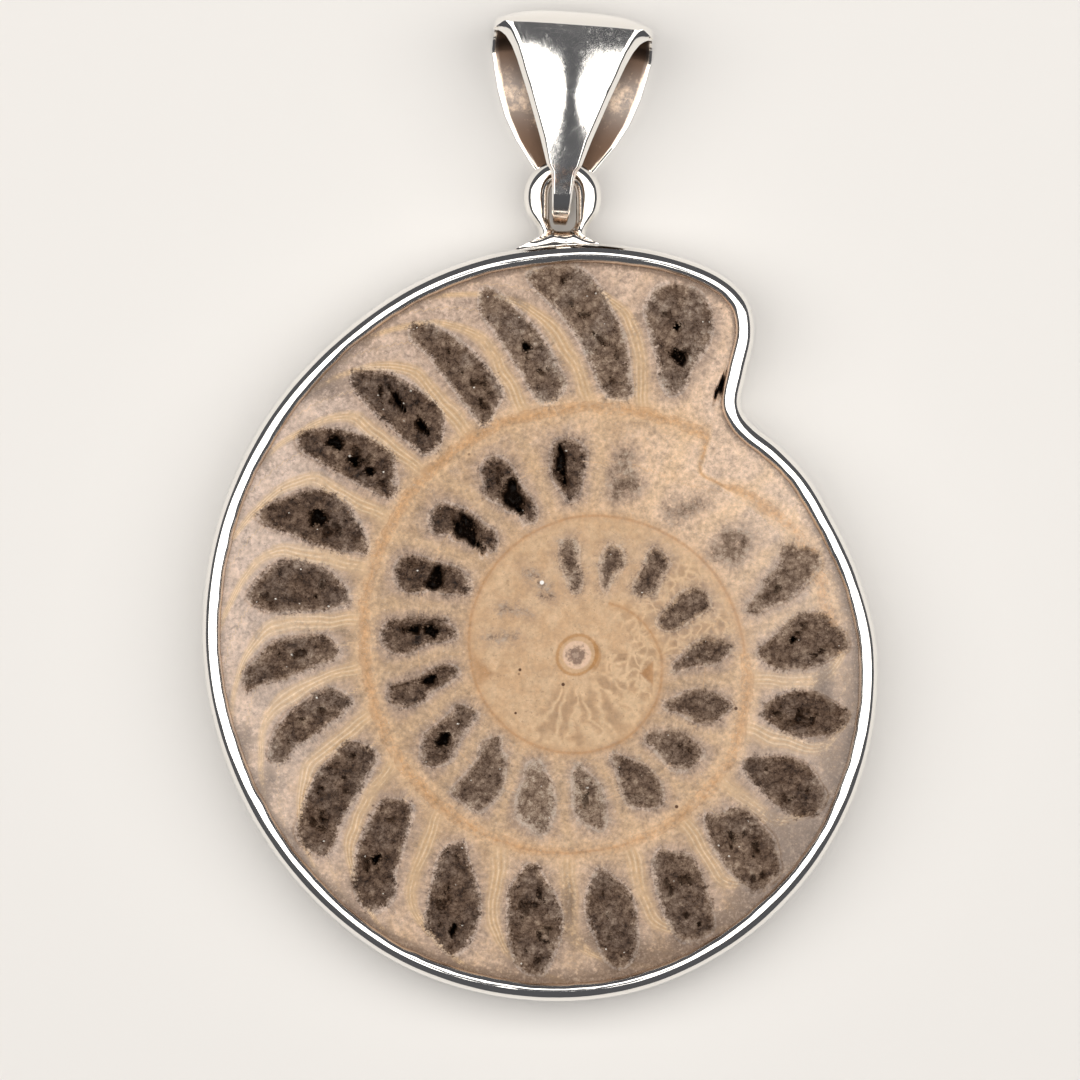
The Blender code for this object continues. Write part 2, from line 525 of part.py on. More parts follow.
def loop_hole(turn):
    """The hole's edge at an angle from straight down: a rounded slot, a little narrower at its foot."""
    power = 2 / LOOP_HOLE_SQUARENESS
    x = math.copysign(abs(math.sin(turn)) ** power, math.sin(turn)) * LOOP_HOLE_HALF_WIDTH
    y = -math.copysign(abs(math.cos(turn)) ** power, math.cos(turn)) * LOOP_HOLE_HALF_LENGTH
    return x * (1 - LOOP_HOLE_TAKE_IN * max(0.0, math.cos(turn))), y + LOOP_HOLE_MIDDLE


def make_loop():
    """Carries an oval section, reaching from the hole to the outer edge, once round the hole."""
    points = []
    for station in range(LOOP_STATIONS):
        turn = 2 * math.pi * station / LOOP_STATIONS
        outer = np.array(loop_outer(turn)) + LOOP_CENTRE
        inner = np.array(loop_hole(turn)) + LOOP_CENTRE
        foot = max(0.0, math.cos(turn)) ** 4
        half_height = (LOOP_THICKNESS + (LOOP_FOOT_THICKNESS - LOOP_THICKNESS) * foot) / 2
        for index in range(LOOP_SECTION):
            angle = 2 * math.pi * (index + 0.5) / LOOP_SECTION
            place = (outer + inner) / 2 + (outer - inner) / 2 * math.cos(angle)
            points.append((place[0], place[1], LOOP_PLANE + half_height * math.sin(angle)))
    return add_object("hanging_loop", points, tube_faces(LOOP_STATIONS, LOOP_SECTION, True), SILVER)


def bail_path():
    """The middle of the band seen from the side: (height, depth, outward height, outward depth) at each station.

    A small round bend below and a larger fold above are joined by two straight tangents, like a belt on two
    pulleys. The back tangent lies flat, so the front one slopes outwards as it rises.
    """
    bend = BAIL_BEND_RADIUS - BAIL_THICKNESS / 2
    fold = BAIL_FOLD_RADIUS - BAIL_THICKNESS / 2
    rise = BAIL_LENGTH - BAIL_BEND_RADIUS - BAIL_FOLD_RADIUS
    lift = fold - bend
    front = math.pi / 2 + 2 * math.atan2(lift, rise)
    back = 1.5 * math.pi

    stations = []
    for step in range(BAIL_BEND_STEPS):
        angle = back + (front - back) * step / BAIL_BEND_STEPS
        stations.append((bend * math.cos(angle), bend * math.sin(angle), math.cos(angle), math.sin(angle)))
    lower = np.array((math.cos(front), math.sin(front))) * bend
    upper = np.array((rise, lift)) + np.array((math.cos(front), math.sin(front))) * fold
    for step in range(BAIL_FRONT_STEPS):
        share = step / BAIL_FRONT_STEPS
        place = lower + (upper - lower) * share
        place += np.array((math.cos(front), math.sin(front))) * BAIL_FRONT_BULGE * math.sin(math.pi * share)
        stations.append((place[0], place[1], math.cos(front), math.sin(front)))
    for step in range(BAIL_FOLD_STEPS):
        angle = front + (-math.pi / 2 - front) * step / BAIL_FOLD_STEPS
        stations.append(
            (rise + fold * math.cos(angle), lift + fold * math.sin(angle), math.cos(angle), math.sin(angle))
        )
    for step in range(BAIL_BACK_STEPS):
        stations.append((rise * (1 - step / BAIL_BACK_STEPS), -bend, 0.0, -1.0))
    return stations


def bail_half_width(height, depth):
    """Half the band's width at a place on its path, in metres."""
    table = BAIL_FRONT_WIDTHS if depth > 0 else BAIL_BACK_WIDTHS
    heights, widths = zip(*table)
    return float(np.interp(height / MM, heights, widths)) * MM


def bail_section(height, depth):
    """The band's section as (sideways, distance in from its outer face): a plate with bevelled outer edges."""
    half = bail_half_width(height, depth)
    bevel = min(BAIL_BEVEL_WIDTH + BAIL_BEVEL_SPREAD * half, 0.4 * half)
    flat = half - bevel
    return (
        (-flat, 0.0), (-flat / 2, 0.0), (0.0, 0.0), (flat / 2, 0.0), (flat, 0.0),
        (half, BAIL_BEVEL_DEPTH), (half, BAIL_THICKNESS),
        (half / 2, BAIL_THICKNESS), (0.0, BAIL_THICKNESS), (-half / 2, BAIL_THICKNESS),
        (-half, BAIL_THICKNESS), (-half, BAIL_BEVEL_DEPTH),
    )


def make_bail():
    """Carries the band's section once round its path. The object's origin is on the axis that it swings about."""
    points = []
    stations = bail_path()
    fold_top = BAIL_LENGTH - BAIL_BEND_RADIUS
    for height, depth, out_height, out_depth in stations:
        section = bail_section(height, depth)
        nearness = max(0.0, (height - BAIL_CROWN_START) / (fold_top - BAIL_CROWN_START))
        for sideways, inset in section:
            drop = BAIL_CROWN * nearness * abs(sideways / BAIL_FOLD_HALF_WIDTH) ** BAIL_CROWN_POWER
            reach = BAIL_THICKNESS / 2 - inset
            points.append((sideways, height + out_height * reach - drop, depth + out_depth * reach))
    bail = add_object("bail", points, tube_faces(len(stations), len(section), True), TARNISHED_SILVER)
    bail.location = BAIL_PIVOT
    bail.rotation_euler = (0.0, 0.0, -BAIL_LEAN)


def main():
    """Builds the four pieces."""
    clear_scene()
    outline, inward = bezel_outline()
    make_bezel(outline, inward)
    make_slice(outline, inward)
    make_loop()
    make_bail()


main()
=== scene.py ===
"""Dresses a pendant: a polished ammonite slice in a rubbed-over silver bezel, with its hanging loop and its bail.

The pendant lies on its back: +X runs across the face, +Y towards the bail and +Z out of the polished face.
Lengths are millimetres, and become metres where a mesh or a light is made. Bearings are degrees clockwise from
+X, as seen from above, round the middle of the shell's spiral.
"""

import logging
import math
from collections.abc import Sequence
from dataclasses import dataclass, field
from enum import Enum
from functools import cached_property

import bpy
import numpy as np
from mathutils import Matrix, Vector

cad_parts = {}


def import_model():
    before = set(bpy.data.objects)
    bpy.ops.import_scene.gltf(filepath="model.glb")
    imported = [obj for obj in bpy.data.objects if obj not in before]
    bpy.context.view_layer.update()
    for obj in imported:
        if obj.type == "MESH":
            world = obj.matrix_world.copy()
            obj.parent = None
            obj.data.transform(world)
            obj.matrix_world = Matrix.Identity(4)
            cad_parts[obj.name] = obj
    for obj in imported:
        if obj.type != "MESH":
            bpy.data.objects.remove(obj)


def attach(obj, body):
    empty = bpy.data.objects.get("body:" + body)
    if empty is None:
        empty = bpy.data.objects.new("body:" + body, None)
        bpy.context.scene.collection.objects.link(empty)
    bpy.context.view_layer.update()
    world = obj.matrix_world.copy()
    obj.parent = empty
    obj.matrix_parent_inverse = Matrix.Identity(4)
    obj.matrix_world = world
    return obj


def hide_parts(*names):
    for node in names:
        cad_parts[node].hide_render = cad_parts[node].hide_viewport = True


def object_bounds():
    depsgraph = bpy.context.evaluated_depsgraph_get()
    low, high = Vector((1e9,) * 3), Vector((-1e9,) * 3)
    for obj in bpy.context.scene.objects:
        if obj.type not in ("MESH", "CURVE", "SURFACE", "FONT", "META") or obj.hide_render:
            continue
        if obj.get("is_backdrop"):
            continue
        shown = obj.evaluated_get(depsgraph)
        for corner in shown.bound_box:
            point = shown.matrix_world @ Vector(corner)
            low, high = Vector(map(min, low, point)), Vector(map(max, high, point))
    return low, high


MM = 0.001
LOG = logging.getLogger("pendant")

Colour = tuple[float, float, float]
Table = tuple[tuple[float, ...], ...]
Array = np.ndarray


class Body(Enum):
    """The bodies that a piece can ride on."""

    PENDANT = "pendant"
    BAIL = "bail"


class Slot(Enum):
    """The record's material slots."""

    FOSSIL = "fossil"
    SILVER = "silver"
    BAIL_SILVER = "bail_silver"


# ---------------------------------------------------------------- shader maths


class Signal:
    """A value, a colour or a vector in a material, so that shader maths on values reads as an expression."""

    def __init__(self, shader: "Shader", socket: bpy.types.NodeSocket) -> None:
        """Wraps one output socket of a material."""
        self.shader, self.socket = shader, socket

    def maths(self, operation: str, *others: "Signal | float") -> "Signal":
        """The result of a Math node whose first value is this one."""
        return self.shader.maths(operation, self, *others)

    def __add__(self, other: "Signal | float") -> "Signal":
        """This value plus another."""
        return self.maths("ADD", other)

    def __sub__(self, other: "Signal | float") -> "Signal":
        """This value less another."""
        return self.maths("SUBTRACT", other)

    def __rsub__(self, other: float) -> "Signal":
        """A number less this value."""
        return self.shader.maths("SUBTRACT", other, self)

    def __mul__(self, other: "Signal | float") -> "Signal":
        """This value times another."""
        return self.maths("MULTIPLY", other)

    __radd__, __rmul__ = __add__, __mul__

    def most(self, other: "Signal | float") -> "Signal":
        """The larger of this value and another."""
        return self.maths("MAXIMUM", other)

    def least(self, other: "Signal | float") -> "Signal":
        """The smaller of this value and another."""
        return self.maths("MINIMUM", other)

    def size(self) -> "Signal":
        """This value without its sign."""
        return self.maths("ABSOLUTE")

    def wave(self) -> "Signal":
        """The cosine of this value in radians."""
        return self.maths("COSINE")

    def swing(self, amount: float) -> "Signal":
        """This noise brought to about 0 and made so many times larger."""
        return (self - 0.5) * amount

    def between(self, low: float, high: float) -> "Signal":
        """A smooth step of this value, from 0 at low to 1 at high, which may be below low."""
        ends = {1: low, 2: high, 3: 0.0, 4: 1.0} if low <= high else {1: high, 2: low, 3: 1.0, 4: 0.0}
        return self.shader.node("ShaderNodeMapRange", {"interpolation_type": "SMOOTHSTEP"}, {0: self, **ends})


class Shader:
    """One Principled material, with the few kinds of node that the finishes here are made of."""

    def __init__(self, name: str) -> None:
        """Starts an empty material.

        Args:
            name: the material's name.
        """
        self.material = bpy.data.materials.new(name)
        self.material.use_nodes = True
        self.tree = self.material.node_tree
        self.surface = self.tree.nodes["Principled BSDF"]
        self.colour: Signal | Colour = (0.0, 0.0, 0.0)

    def node(
        self, kind: str, settings: dict | None = None, inputs: dict | None = None, output: int | str = 0
    ) -> Signal:
        """Adds a node.

        Args:
            kind: the node's type.
            settings: its properties, set first.
            inputs: the value or link of each socket, by its number or name.
            output: the number or name of the output that is wanted.

        Returns:
            That output.
        """
        made = self.tree.nodes.new(kind)
        for name, value in (settings or {}).items():
            setattr(made, name, value)
        for key, value in (inputs or {}).items():
            self.feed(made.inputs[key], value)
        return Signal(self, made.outputs[output])

    def feed(self, socket: bpy.types.NodeSocket, value: Signal | float | tuple) -> None:
        """Links a value to a socket, or sets the socket's own number or colour.

        Args:
            socket: the input socket.
            value: what goes into it.
        """
        if isinstance(value, Signal):
            self.tree.links.new(value.socket, socket)
        elif isinstance(value, tuple) and socket.type == "RGBA":
            socket.default_value = (*value, 1.0)
        else:
            socket.default_value = value

    def set(self, **values: Signal | float | tuple) -> None:
        """Feeds the surface's sockets.

        Args:
            **values: what goes into each, by its name with underscores, as in base_color.
        """
        for name, value in values.items():
            title = " ".join(word.upper() if word == "ior" else word.capitalize() for word in name.split("_"))
            self.feed(self.surface.inputs[title], value)

    def maths(self, operation: str, *values: Signal | float) -> Signal:
        """The result of a Math node."""
        return self.node("ShaderNodeMath", {"operation": operation}, dict(enumerate(values)))

    def vector(self, operation: str, first: Signal, second: Signal | tuple, output: int = 0) -> Signal:
        """The result of a Vector Math node."""
        return self.node("ShaderNodeVectorMath", {"operation": operation}, {0: first, 1: second}, output)

    @cached_property
    def place(self) -> Signal:
        """The point on the piece in millimetres."""
        metres = self.node("ShaderNodeTexCoord", output="Object")
        return self.node("ShaderNodeVectorMath", {"operation": "SCALE"}, {0: metres, "Scale": 1 / MM})

    def joined(self, x: Signal | float, y: Signal | float, z: Signal | float) -> Signal:
        """A vector made of three values."""
        return self.node("ShaderNodeCombineXYZ", inputs={0: x, 1: y, 2: z})

    def part(self, vector: Signal, axis: int) -> Signal:
        """One part of a vector."""
        return self.node("ShaderNodeSeparateXYZ", inputs={0: vector}, output=axis)

    def bent(self, shift: Signal) -> Signal:
        """The point on the piece, moved as far along each of the three axes."""
        return self.vector("ADD", self.place, self.joined(shift, shift, shift))

    def read(self, name: str, output: str = "Fac") -> Signal:
        """A number that the mesh carries at each point, or with "Vector" as the output a vector."""
        return self.node("ShaderNodeAttribute", {"attribute_name": name}, output=output)

    def noise(self, scale: float, detail: float = 2.0, roughness: float = 0.5, at: Signal | None = None) -> Signal:
        """Smooth noise, mostly from 0.3 to 0.7, with so many cells for each unit of the place."""
        inputs = {"Vector": at or self.place, "Scale": scale, "Detail": detail, "Roughness": roughness}
        return self.node("ShaderNodeTexNoise", inputs=inputs)

    def cells(
        self, scale: float, feature: str = "F1", at: Signal | None = None, randomness: float = 1.0
    ) -> Signal:
        """The distance that a Voronoi pattern gives, with so many cells for each unit of the place."""
        inputs = {"Vector": at or self.place, "Scale": scale, "Randomness": randomness}
        return self.node("ShaderNodeTexVoronoi", {"feature": feature}, inputs, "Distance")

    def mix(
        self, amount: Signal | float, first: Signal | tuple, second: Signal | tuple, blend: str = "MIX"
    ) -> Signal:
        """A mixture of two colours, with so much of the second."""
        settings = {"data_type": "RGBA", "blend_type": blend}
        return self.node("ShaderNodeMix", settings, {0: amount, 6: first, 7: second}, 2)

    def ramp(self, value: Signal, stops: Sequence[tuple[float, Colour]]) -> Signal:
        """The colour that a ramp gives a value.

        Args:
            value: the value.
            stops: the place of each of the ramp's stops, from 0 to 1, and its colour.

        Returns:
            The colour.
        """
        made = self.node("ShaderNodeValToRGB", inputs={0: value})
        elements = made.socket.node.color_ramp.elements
        for index, (place, colour) in enumerate(stops):
            stop = elements[index] if index < 2 else elements.new(place)
            stop.position, stop.color = place, (*colour, 1.0)
        return made

    def lay(self, amount: Signal | float, colour: Signal | tuple) -> None:
        """Lays so much of a colour over the colour so far."""
        self.colour = self.mix(amount, self.colour, colour)

    def shade(self, light: Signal) -> None:
        """Makes the colour so far so many times as bright."""
        self.colour = self.mix(1.0, self.colour, self.joined(light, light, light), "MULTIPLY")

    def bump(self, height: Signal, strength: float, distance: float) -> None:
        """Gives the surface a relief, whose height of 1 stands for a distance in millimetres."""
        inputs = {"Height": height, "Strength": strength, "Distance": distance * MM}
        self.feed(self.surface.inputs["Normal"], self.node("ShaderNodeBump", inputs=inputs))


# ---------------------------------------------------------------- mesh maths


def smooth_step(low: float, high: float, value: Array) -> Array:
    """A smooth step, 3t² - 2t³ where t is how far the value is from low, at 0, to high, at 1."""
    share = np.clip((value - low) / (high - low), 0.0, 1.0)
    return share * share * (3 - 2 * share)


def bell(distance: Array, width: float) -> Array:
    """A bell curve, 1 in the middle: e to the power of minus the square of the distance over the width."""
    return np.exp(-((distance / width) ** 2))


def waves(turn: Array, table: Table) -> Array:
    """A sum of sines round a turn, each with its height, its count and its start in radians."""
    return sum(size * np.sin(count * turn + start) for size, count, start in table)


def table_value(table: Table, at: Array) -> Array:
    """What a table of places and values gives at other places, on straight lines between its rows."""
    places, values = np.array(table).T
    return np.interp(at, places, values)


def turned(degrees: Array) -> Array:
    """Angles brought to between -180 and 180 degrees."""
    return (degrees + 180.0) % 360.0 - 180.0


def lattice_noise(points: Array, cell: float, seed: int) -> Array:
    """Smooth noise from 0 to 1: random numbers at the corners of a square lattice, blended by smooth steps.

    Args:
        points: where it is read, one to a row.
        cell: the lattice's spacing.
        seed: which noise it is.

    Returns:
        The noise at each place.
    """
    table = np.random.default_rng(seed).random((128, 128))
    column, row = np.floor(points / cell).astype(int).T
    across, up = points[:, 0] / cell - column, points[:, 1] / cell - row
    across, up = across * across * (3 - 2 * across), up * up * (3 - 2 * up)
    left, right, low, high = column % 128, (column + 1) % 128, row % 128, (row + 1) % 128
    near, far = (table[left, side] * (1 - across) + table[right, side] * across for side in (low, high))
    return near * (1 - up) + far * up


def smooth_curve(stations: Array, steps: int, closed: bool = True) -> Array:
    """The centripetal Catmull-Rom curve through stations: a cubic between each two, its knots the roots of chords.

    Args:
        stations: the points, one to a row.
        steps: the points wanted between each station and the next.
        closed: whether the last station joins the first.

    Returns:
        The curve's points, without the end point of an open curve.
    """
    if not closed:
        stations = np.vstack((2 * stations[:1] - stations[1:2], stations, 2 * stations[-1:] - stations[-2:-1]))
    before, end, after = (np.roll(stations, shift, axis=0) for shift in (1, -1, -2))
    start = stations
    if not closed:
        before, start, end, after = before[1:-2], start[1:-2], end[1:-2], after[1:-2]
    first = np.sqrt(np.linalg.norm(start - before, axis=1))[:, None, None]
    second = first + np.sqrt(np.linalg.norm(end - start, axis=1))[:, None, None]
    third = second + np.sqrt(np.linalg.norm(after - end, axis=1))[:, None, None]
    time = first + (second - first) * (np.arange(steps) / steps)[None, :, None]
    before, start, end, after = (point[:, None, :] for point in (before, start, end, after))
    low = before + (start - before) * time / first
    middle = start + (end - start) * (time - first) / (second - first)
    high = end + (after - end) * (time - second) / (third - second)
    low = low + (middle - low) * time / second
    high = middle + (high - middle) * (time - first) / (third - first)
    return (low + (high - low) * (time - first) / (second - first)).reshape(-1, stations.shape[1])


def spaced(line: Array, count: int) -> Array:
    """Evenly spaced points along a line of short straight pieces, from its first point to just before its last.

    Args:
        line: the line's points, one to a row.
        count: how many points are wanted.

    Returns:
        The points.
    """
    length = np.concatenate(([0.0], np.cumsum(np.linalg.norm(np.diff(line, axis=0), axis=1))))
    wanted = length[-1] * np.arange(count) / count
    return np.stack([np.interp(wanted, length, part) for part in line.T], axis=1)


def grid_faces(rows: int, columns: int, close_rows: bool, close_columns: bool, first: int = 0) -> Array:
    """Quads between neighbours on a grid of points that is stored row by row.

    Args:
        rows: how many rows of points there are.
        columns: how many points each row has.
        close_rows: whether the last row joins the first.
        close_columns: whether each row is closed on itself.
        first: the number of the grid's first point.

    Returns:
        An array with four point numbers for each quad.
    """
    row, column = np.meshgrid(
        np.arange(rows if close_rows else rows - 1), np.arange(columns if close_columns else columns - 1),
        indexing="ij",
    )
    after, beside = (row + 1) % rows, (column + 1) % columns
    corners = (row * columns + column, row * columns + beside, after * columns + beside, after * columns + column)
    return np.stack([corner.ravel() for corner in corners], axis=1) + first


def enclosed(points: Array, faces: Array) -> float:
    """Six times the volume inside closed faces: the sum of their corners' triple products, above 0 if they face out.

    Args:
        points: the points.
        faces: the faces' point numbers.

    Returns:
        The sum.
    """
    total = 0.0
    for step in range(1, faces.shape[1] - 1):
        one, two, three = points[faces[:, 0]], points[faces[:, step]], points[faces[:, step + 1]]
        total += float(np.einsum("ij,ij->i", one, np.cross(two, three)).sum())
    return total


def placed(name: str, data: bpy.types.ID) -> bpy.types.Object:
    """Puts a new object into the scene, at the origin.

    Args:
        name: its name.
        data: its mesh, camera or light.

    Returns:
        The object.
    """
    made = bpy.data.objects.new(name, data)
    bpy.context.scene.collection.objects.link(made)
    return made


@dataclass
class Piece:
    """One piece of the pendant, built from arrays."""

    name: str
    body: Body
    slot: Slot
    points: Array
    faces: Sequence[Array]
    material: bpy.types.Material
    values: dict[str, Array] = field(default_factory=dict)
    sharp_angle: float | None = 40.0
    replaces: tuple[str, ...] = ()

    def build(self) -> bpy.types.Object:
        """Puts the arrays into a mesh, with its faces outwards, and hands the piece to its body.

        Returns:
            The finished object.
        """
        faces = [np.asarray(group) for group in self.faces]
        if sum(enclosed(self.points, group) for group in faces) < 0:
            faces = [group[:, ::-1] for group in faces]
        mesh = bpy.data.meshes.new(self.name)
        mesh.vertices.add(len(self.points))
        mesh.vertices.foreach_set("co", (self.points * MM).astype(np.float32).ravel())
        sizes = np.concatenate([np.full(len(group), group.shape[1]) for group in faces])
        mesh.loops.add(int(sizes.sum()))
        mesh.loops.foreach_set("vertex_index", np.concatenate([group.ravel() for group in faces]).astype(np.int32))
        mesh.polygons.add(len(sizes))
        mesh.polygons.foreach_set("loop_start", (np.cumsum(sizes) - sizes).astype(np.int32))
        mesh.update(calc_edges=True)
        for name, value in self.values.items():
            is_vector = value.ndim == 2
            made = mesh.attributes.new(name, "FLOAT_VECTOR" if is_vector else "FLOAT", "POINT")
            made.data.foreach_set("vector" if is_vector else "value", value.astype(np.float32).ravel())
        mesh.materials.append(self.material)
        if self.sharp_angle is not None:
            mesh.shade_smooth()
            mesh.set_sharp_from_angle(angle=math.radians(self.sharp_angle))
        made = placed(self.name, mesh)
        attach(made, self.body.value)
        if self.replaces:
            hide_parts(*self.replaces)
        LOG.info("%s: %d points, %d faces", self.name, len(self.points), len(sizes))
        return made


# ---------------------------------------------------------------- the shell


@dataclass(frozen=True)
class Outline:
    """The setting's outer edge as seen from above: its radius at each bearing round the shell's spiral."""

    middle: tuple[float, float] = (2.47, -9.83)
    stations: Table = (
        (330, 19.16), (345, 19.37), (0, 19.85), (20, 20.34), (40, 21.04), (60, 21.81), (80, 22.59), (100, 23.08),
        (120, 23.56), (140, 23.78), (160, 24.16), (180, 24.7), (200, 25.28), (220, 25.9), (240, 26.55),
        (255, 27.0), (270, 27.16), (280, 27.18), (287, 27.06), (291, 26.83), (294, 26.4), (296.5, 25.7),
        (299, 24.14), (301, 21.7), (303, 19.85), (305, 19.32), (308, 19.1), (314, 19.2), (322, 19.27),
    )
    steps: int = 40

    def at(self, bearing: Array, radius: Array) -> Array:
        """The point at a bearing in degrees and a radius."""
        turn = np.radians(bearing)
        return np.stack((self.middle[0] + radius * np.cos(turn), self.middle[1] - radius * np.sin(turn)), axis=-1)

    def polar(self, points: Array) -> tuple[Array, Array]:
        """The bearing, from 0 to 360 degrees, and the radius of points."""
        across, down = points[:, 0] - self.middle[0], self.middle[1] - points[:, 1]
        return np.degrees(np.arctan2(down, across)) % 360.0, np.hypot(across, down)

    def edge(self, count: int, reach: float = 0.0) -> tuple[Array, Array]:
        """Evenly spaced points on the centripetal Catmull-Rom curve through the stations.

        Args:
            count: how many points are wanted.
            reach: how far inwards from the edge they lie.

        Returns:
            The points, clockwise, and the inward direction at each.
        """
        line = smooth_curve(self.at(*np.array(self.stations).T), self.steps)
        even = spaced(np.vstack((line, line[:1])), count)
        along = np.roll(even, -1, axis=0) - np.roll(even, 1, axis=0)
        along /= np.linalg.norm(along, axis=1)[:, None]
        inward = np.stack((along[:, 1], -along[:, 0]), axis=1)
        return even + inward * reach, inward

    def radius(self, bearing: Array, reach: float) -> Array:
        """The radius at each bearing of the line that lies reach inside the edge."""
        bearings, radii = self.polar(self.edge(1440, reach)[0])
        order = np.argsort(bearings)
        return np.interp(bearing, bearings[order], radii[order], period=360.0)


@dataclass(frozen=True)
class Chamber:
    """A gas chamber of the shell, filled with dark crystal.

    tone is how light its filling is, and fill how much of it is dark filling rather than pale calcite. edge is its
    outline, as bearings in degrees and distances from the spiral's middle: from its inner end out along the side
    of lower bearing, round its outer end and back.
    """

    tone: float
    fill: float
    edge: tuple[tuple[float, float], ...]

    @property
    def axis(self) -> tuple[float, float, float, float]:
        """The middle line: its bearing halfway along, its distance there, half its length and its lean in degrees.

        The line is the least-squares fit of the edge's bearings against its distances.
        """
        bearing, radius = np.array(self.edge).T
        middle, half = (radius.max() + radius.min()) / 2, (radius.max() - radius.min()) / 2
        slope = np.cov(bearing, radius)[0, 1] / radius.var(ddof=1)
        return bearing.mean() + slope * (middle - radius.mean()), middle, half, -2 * half * slope


def chambers(*rows: tuple[float, ...]) -> tuple[Chamber, ...]:
    """Chambers from rows of numbers: tone, fill, and then the edge's bearings and distances in turn."""
    return tuple(Chamber(row[0], row[1], tuple(zip(row[2::2], row[3::2]))) for row in rows)


@dataclass(frozen=True)
class Pit:
    """An open pit in a chamber's filling: its bearing, radius, length along the radius and width."""

    bearing: float
    radius: float
    length: float
    width: float


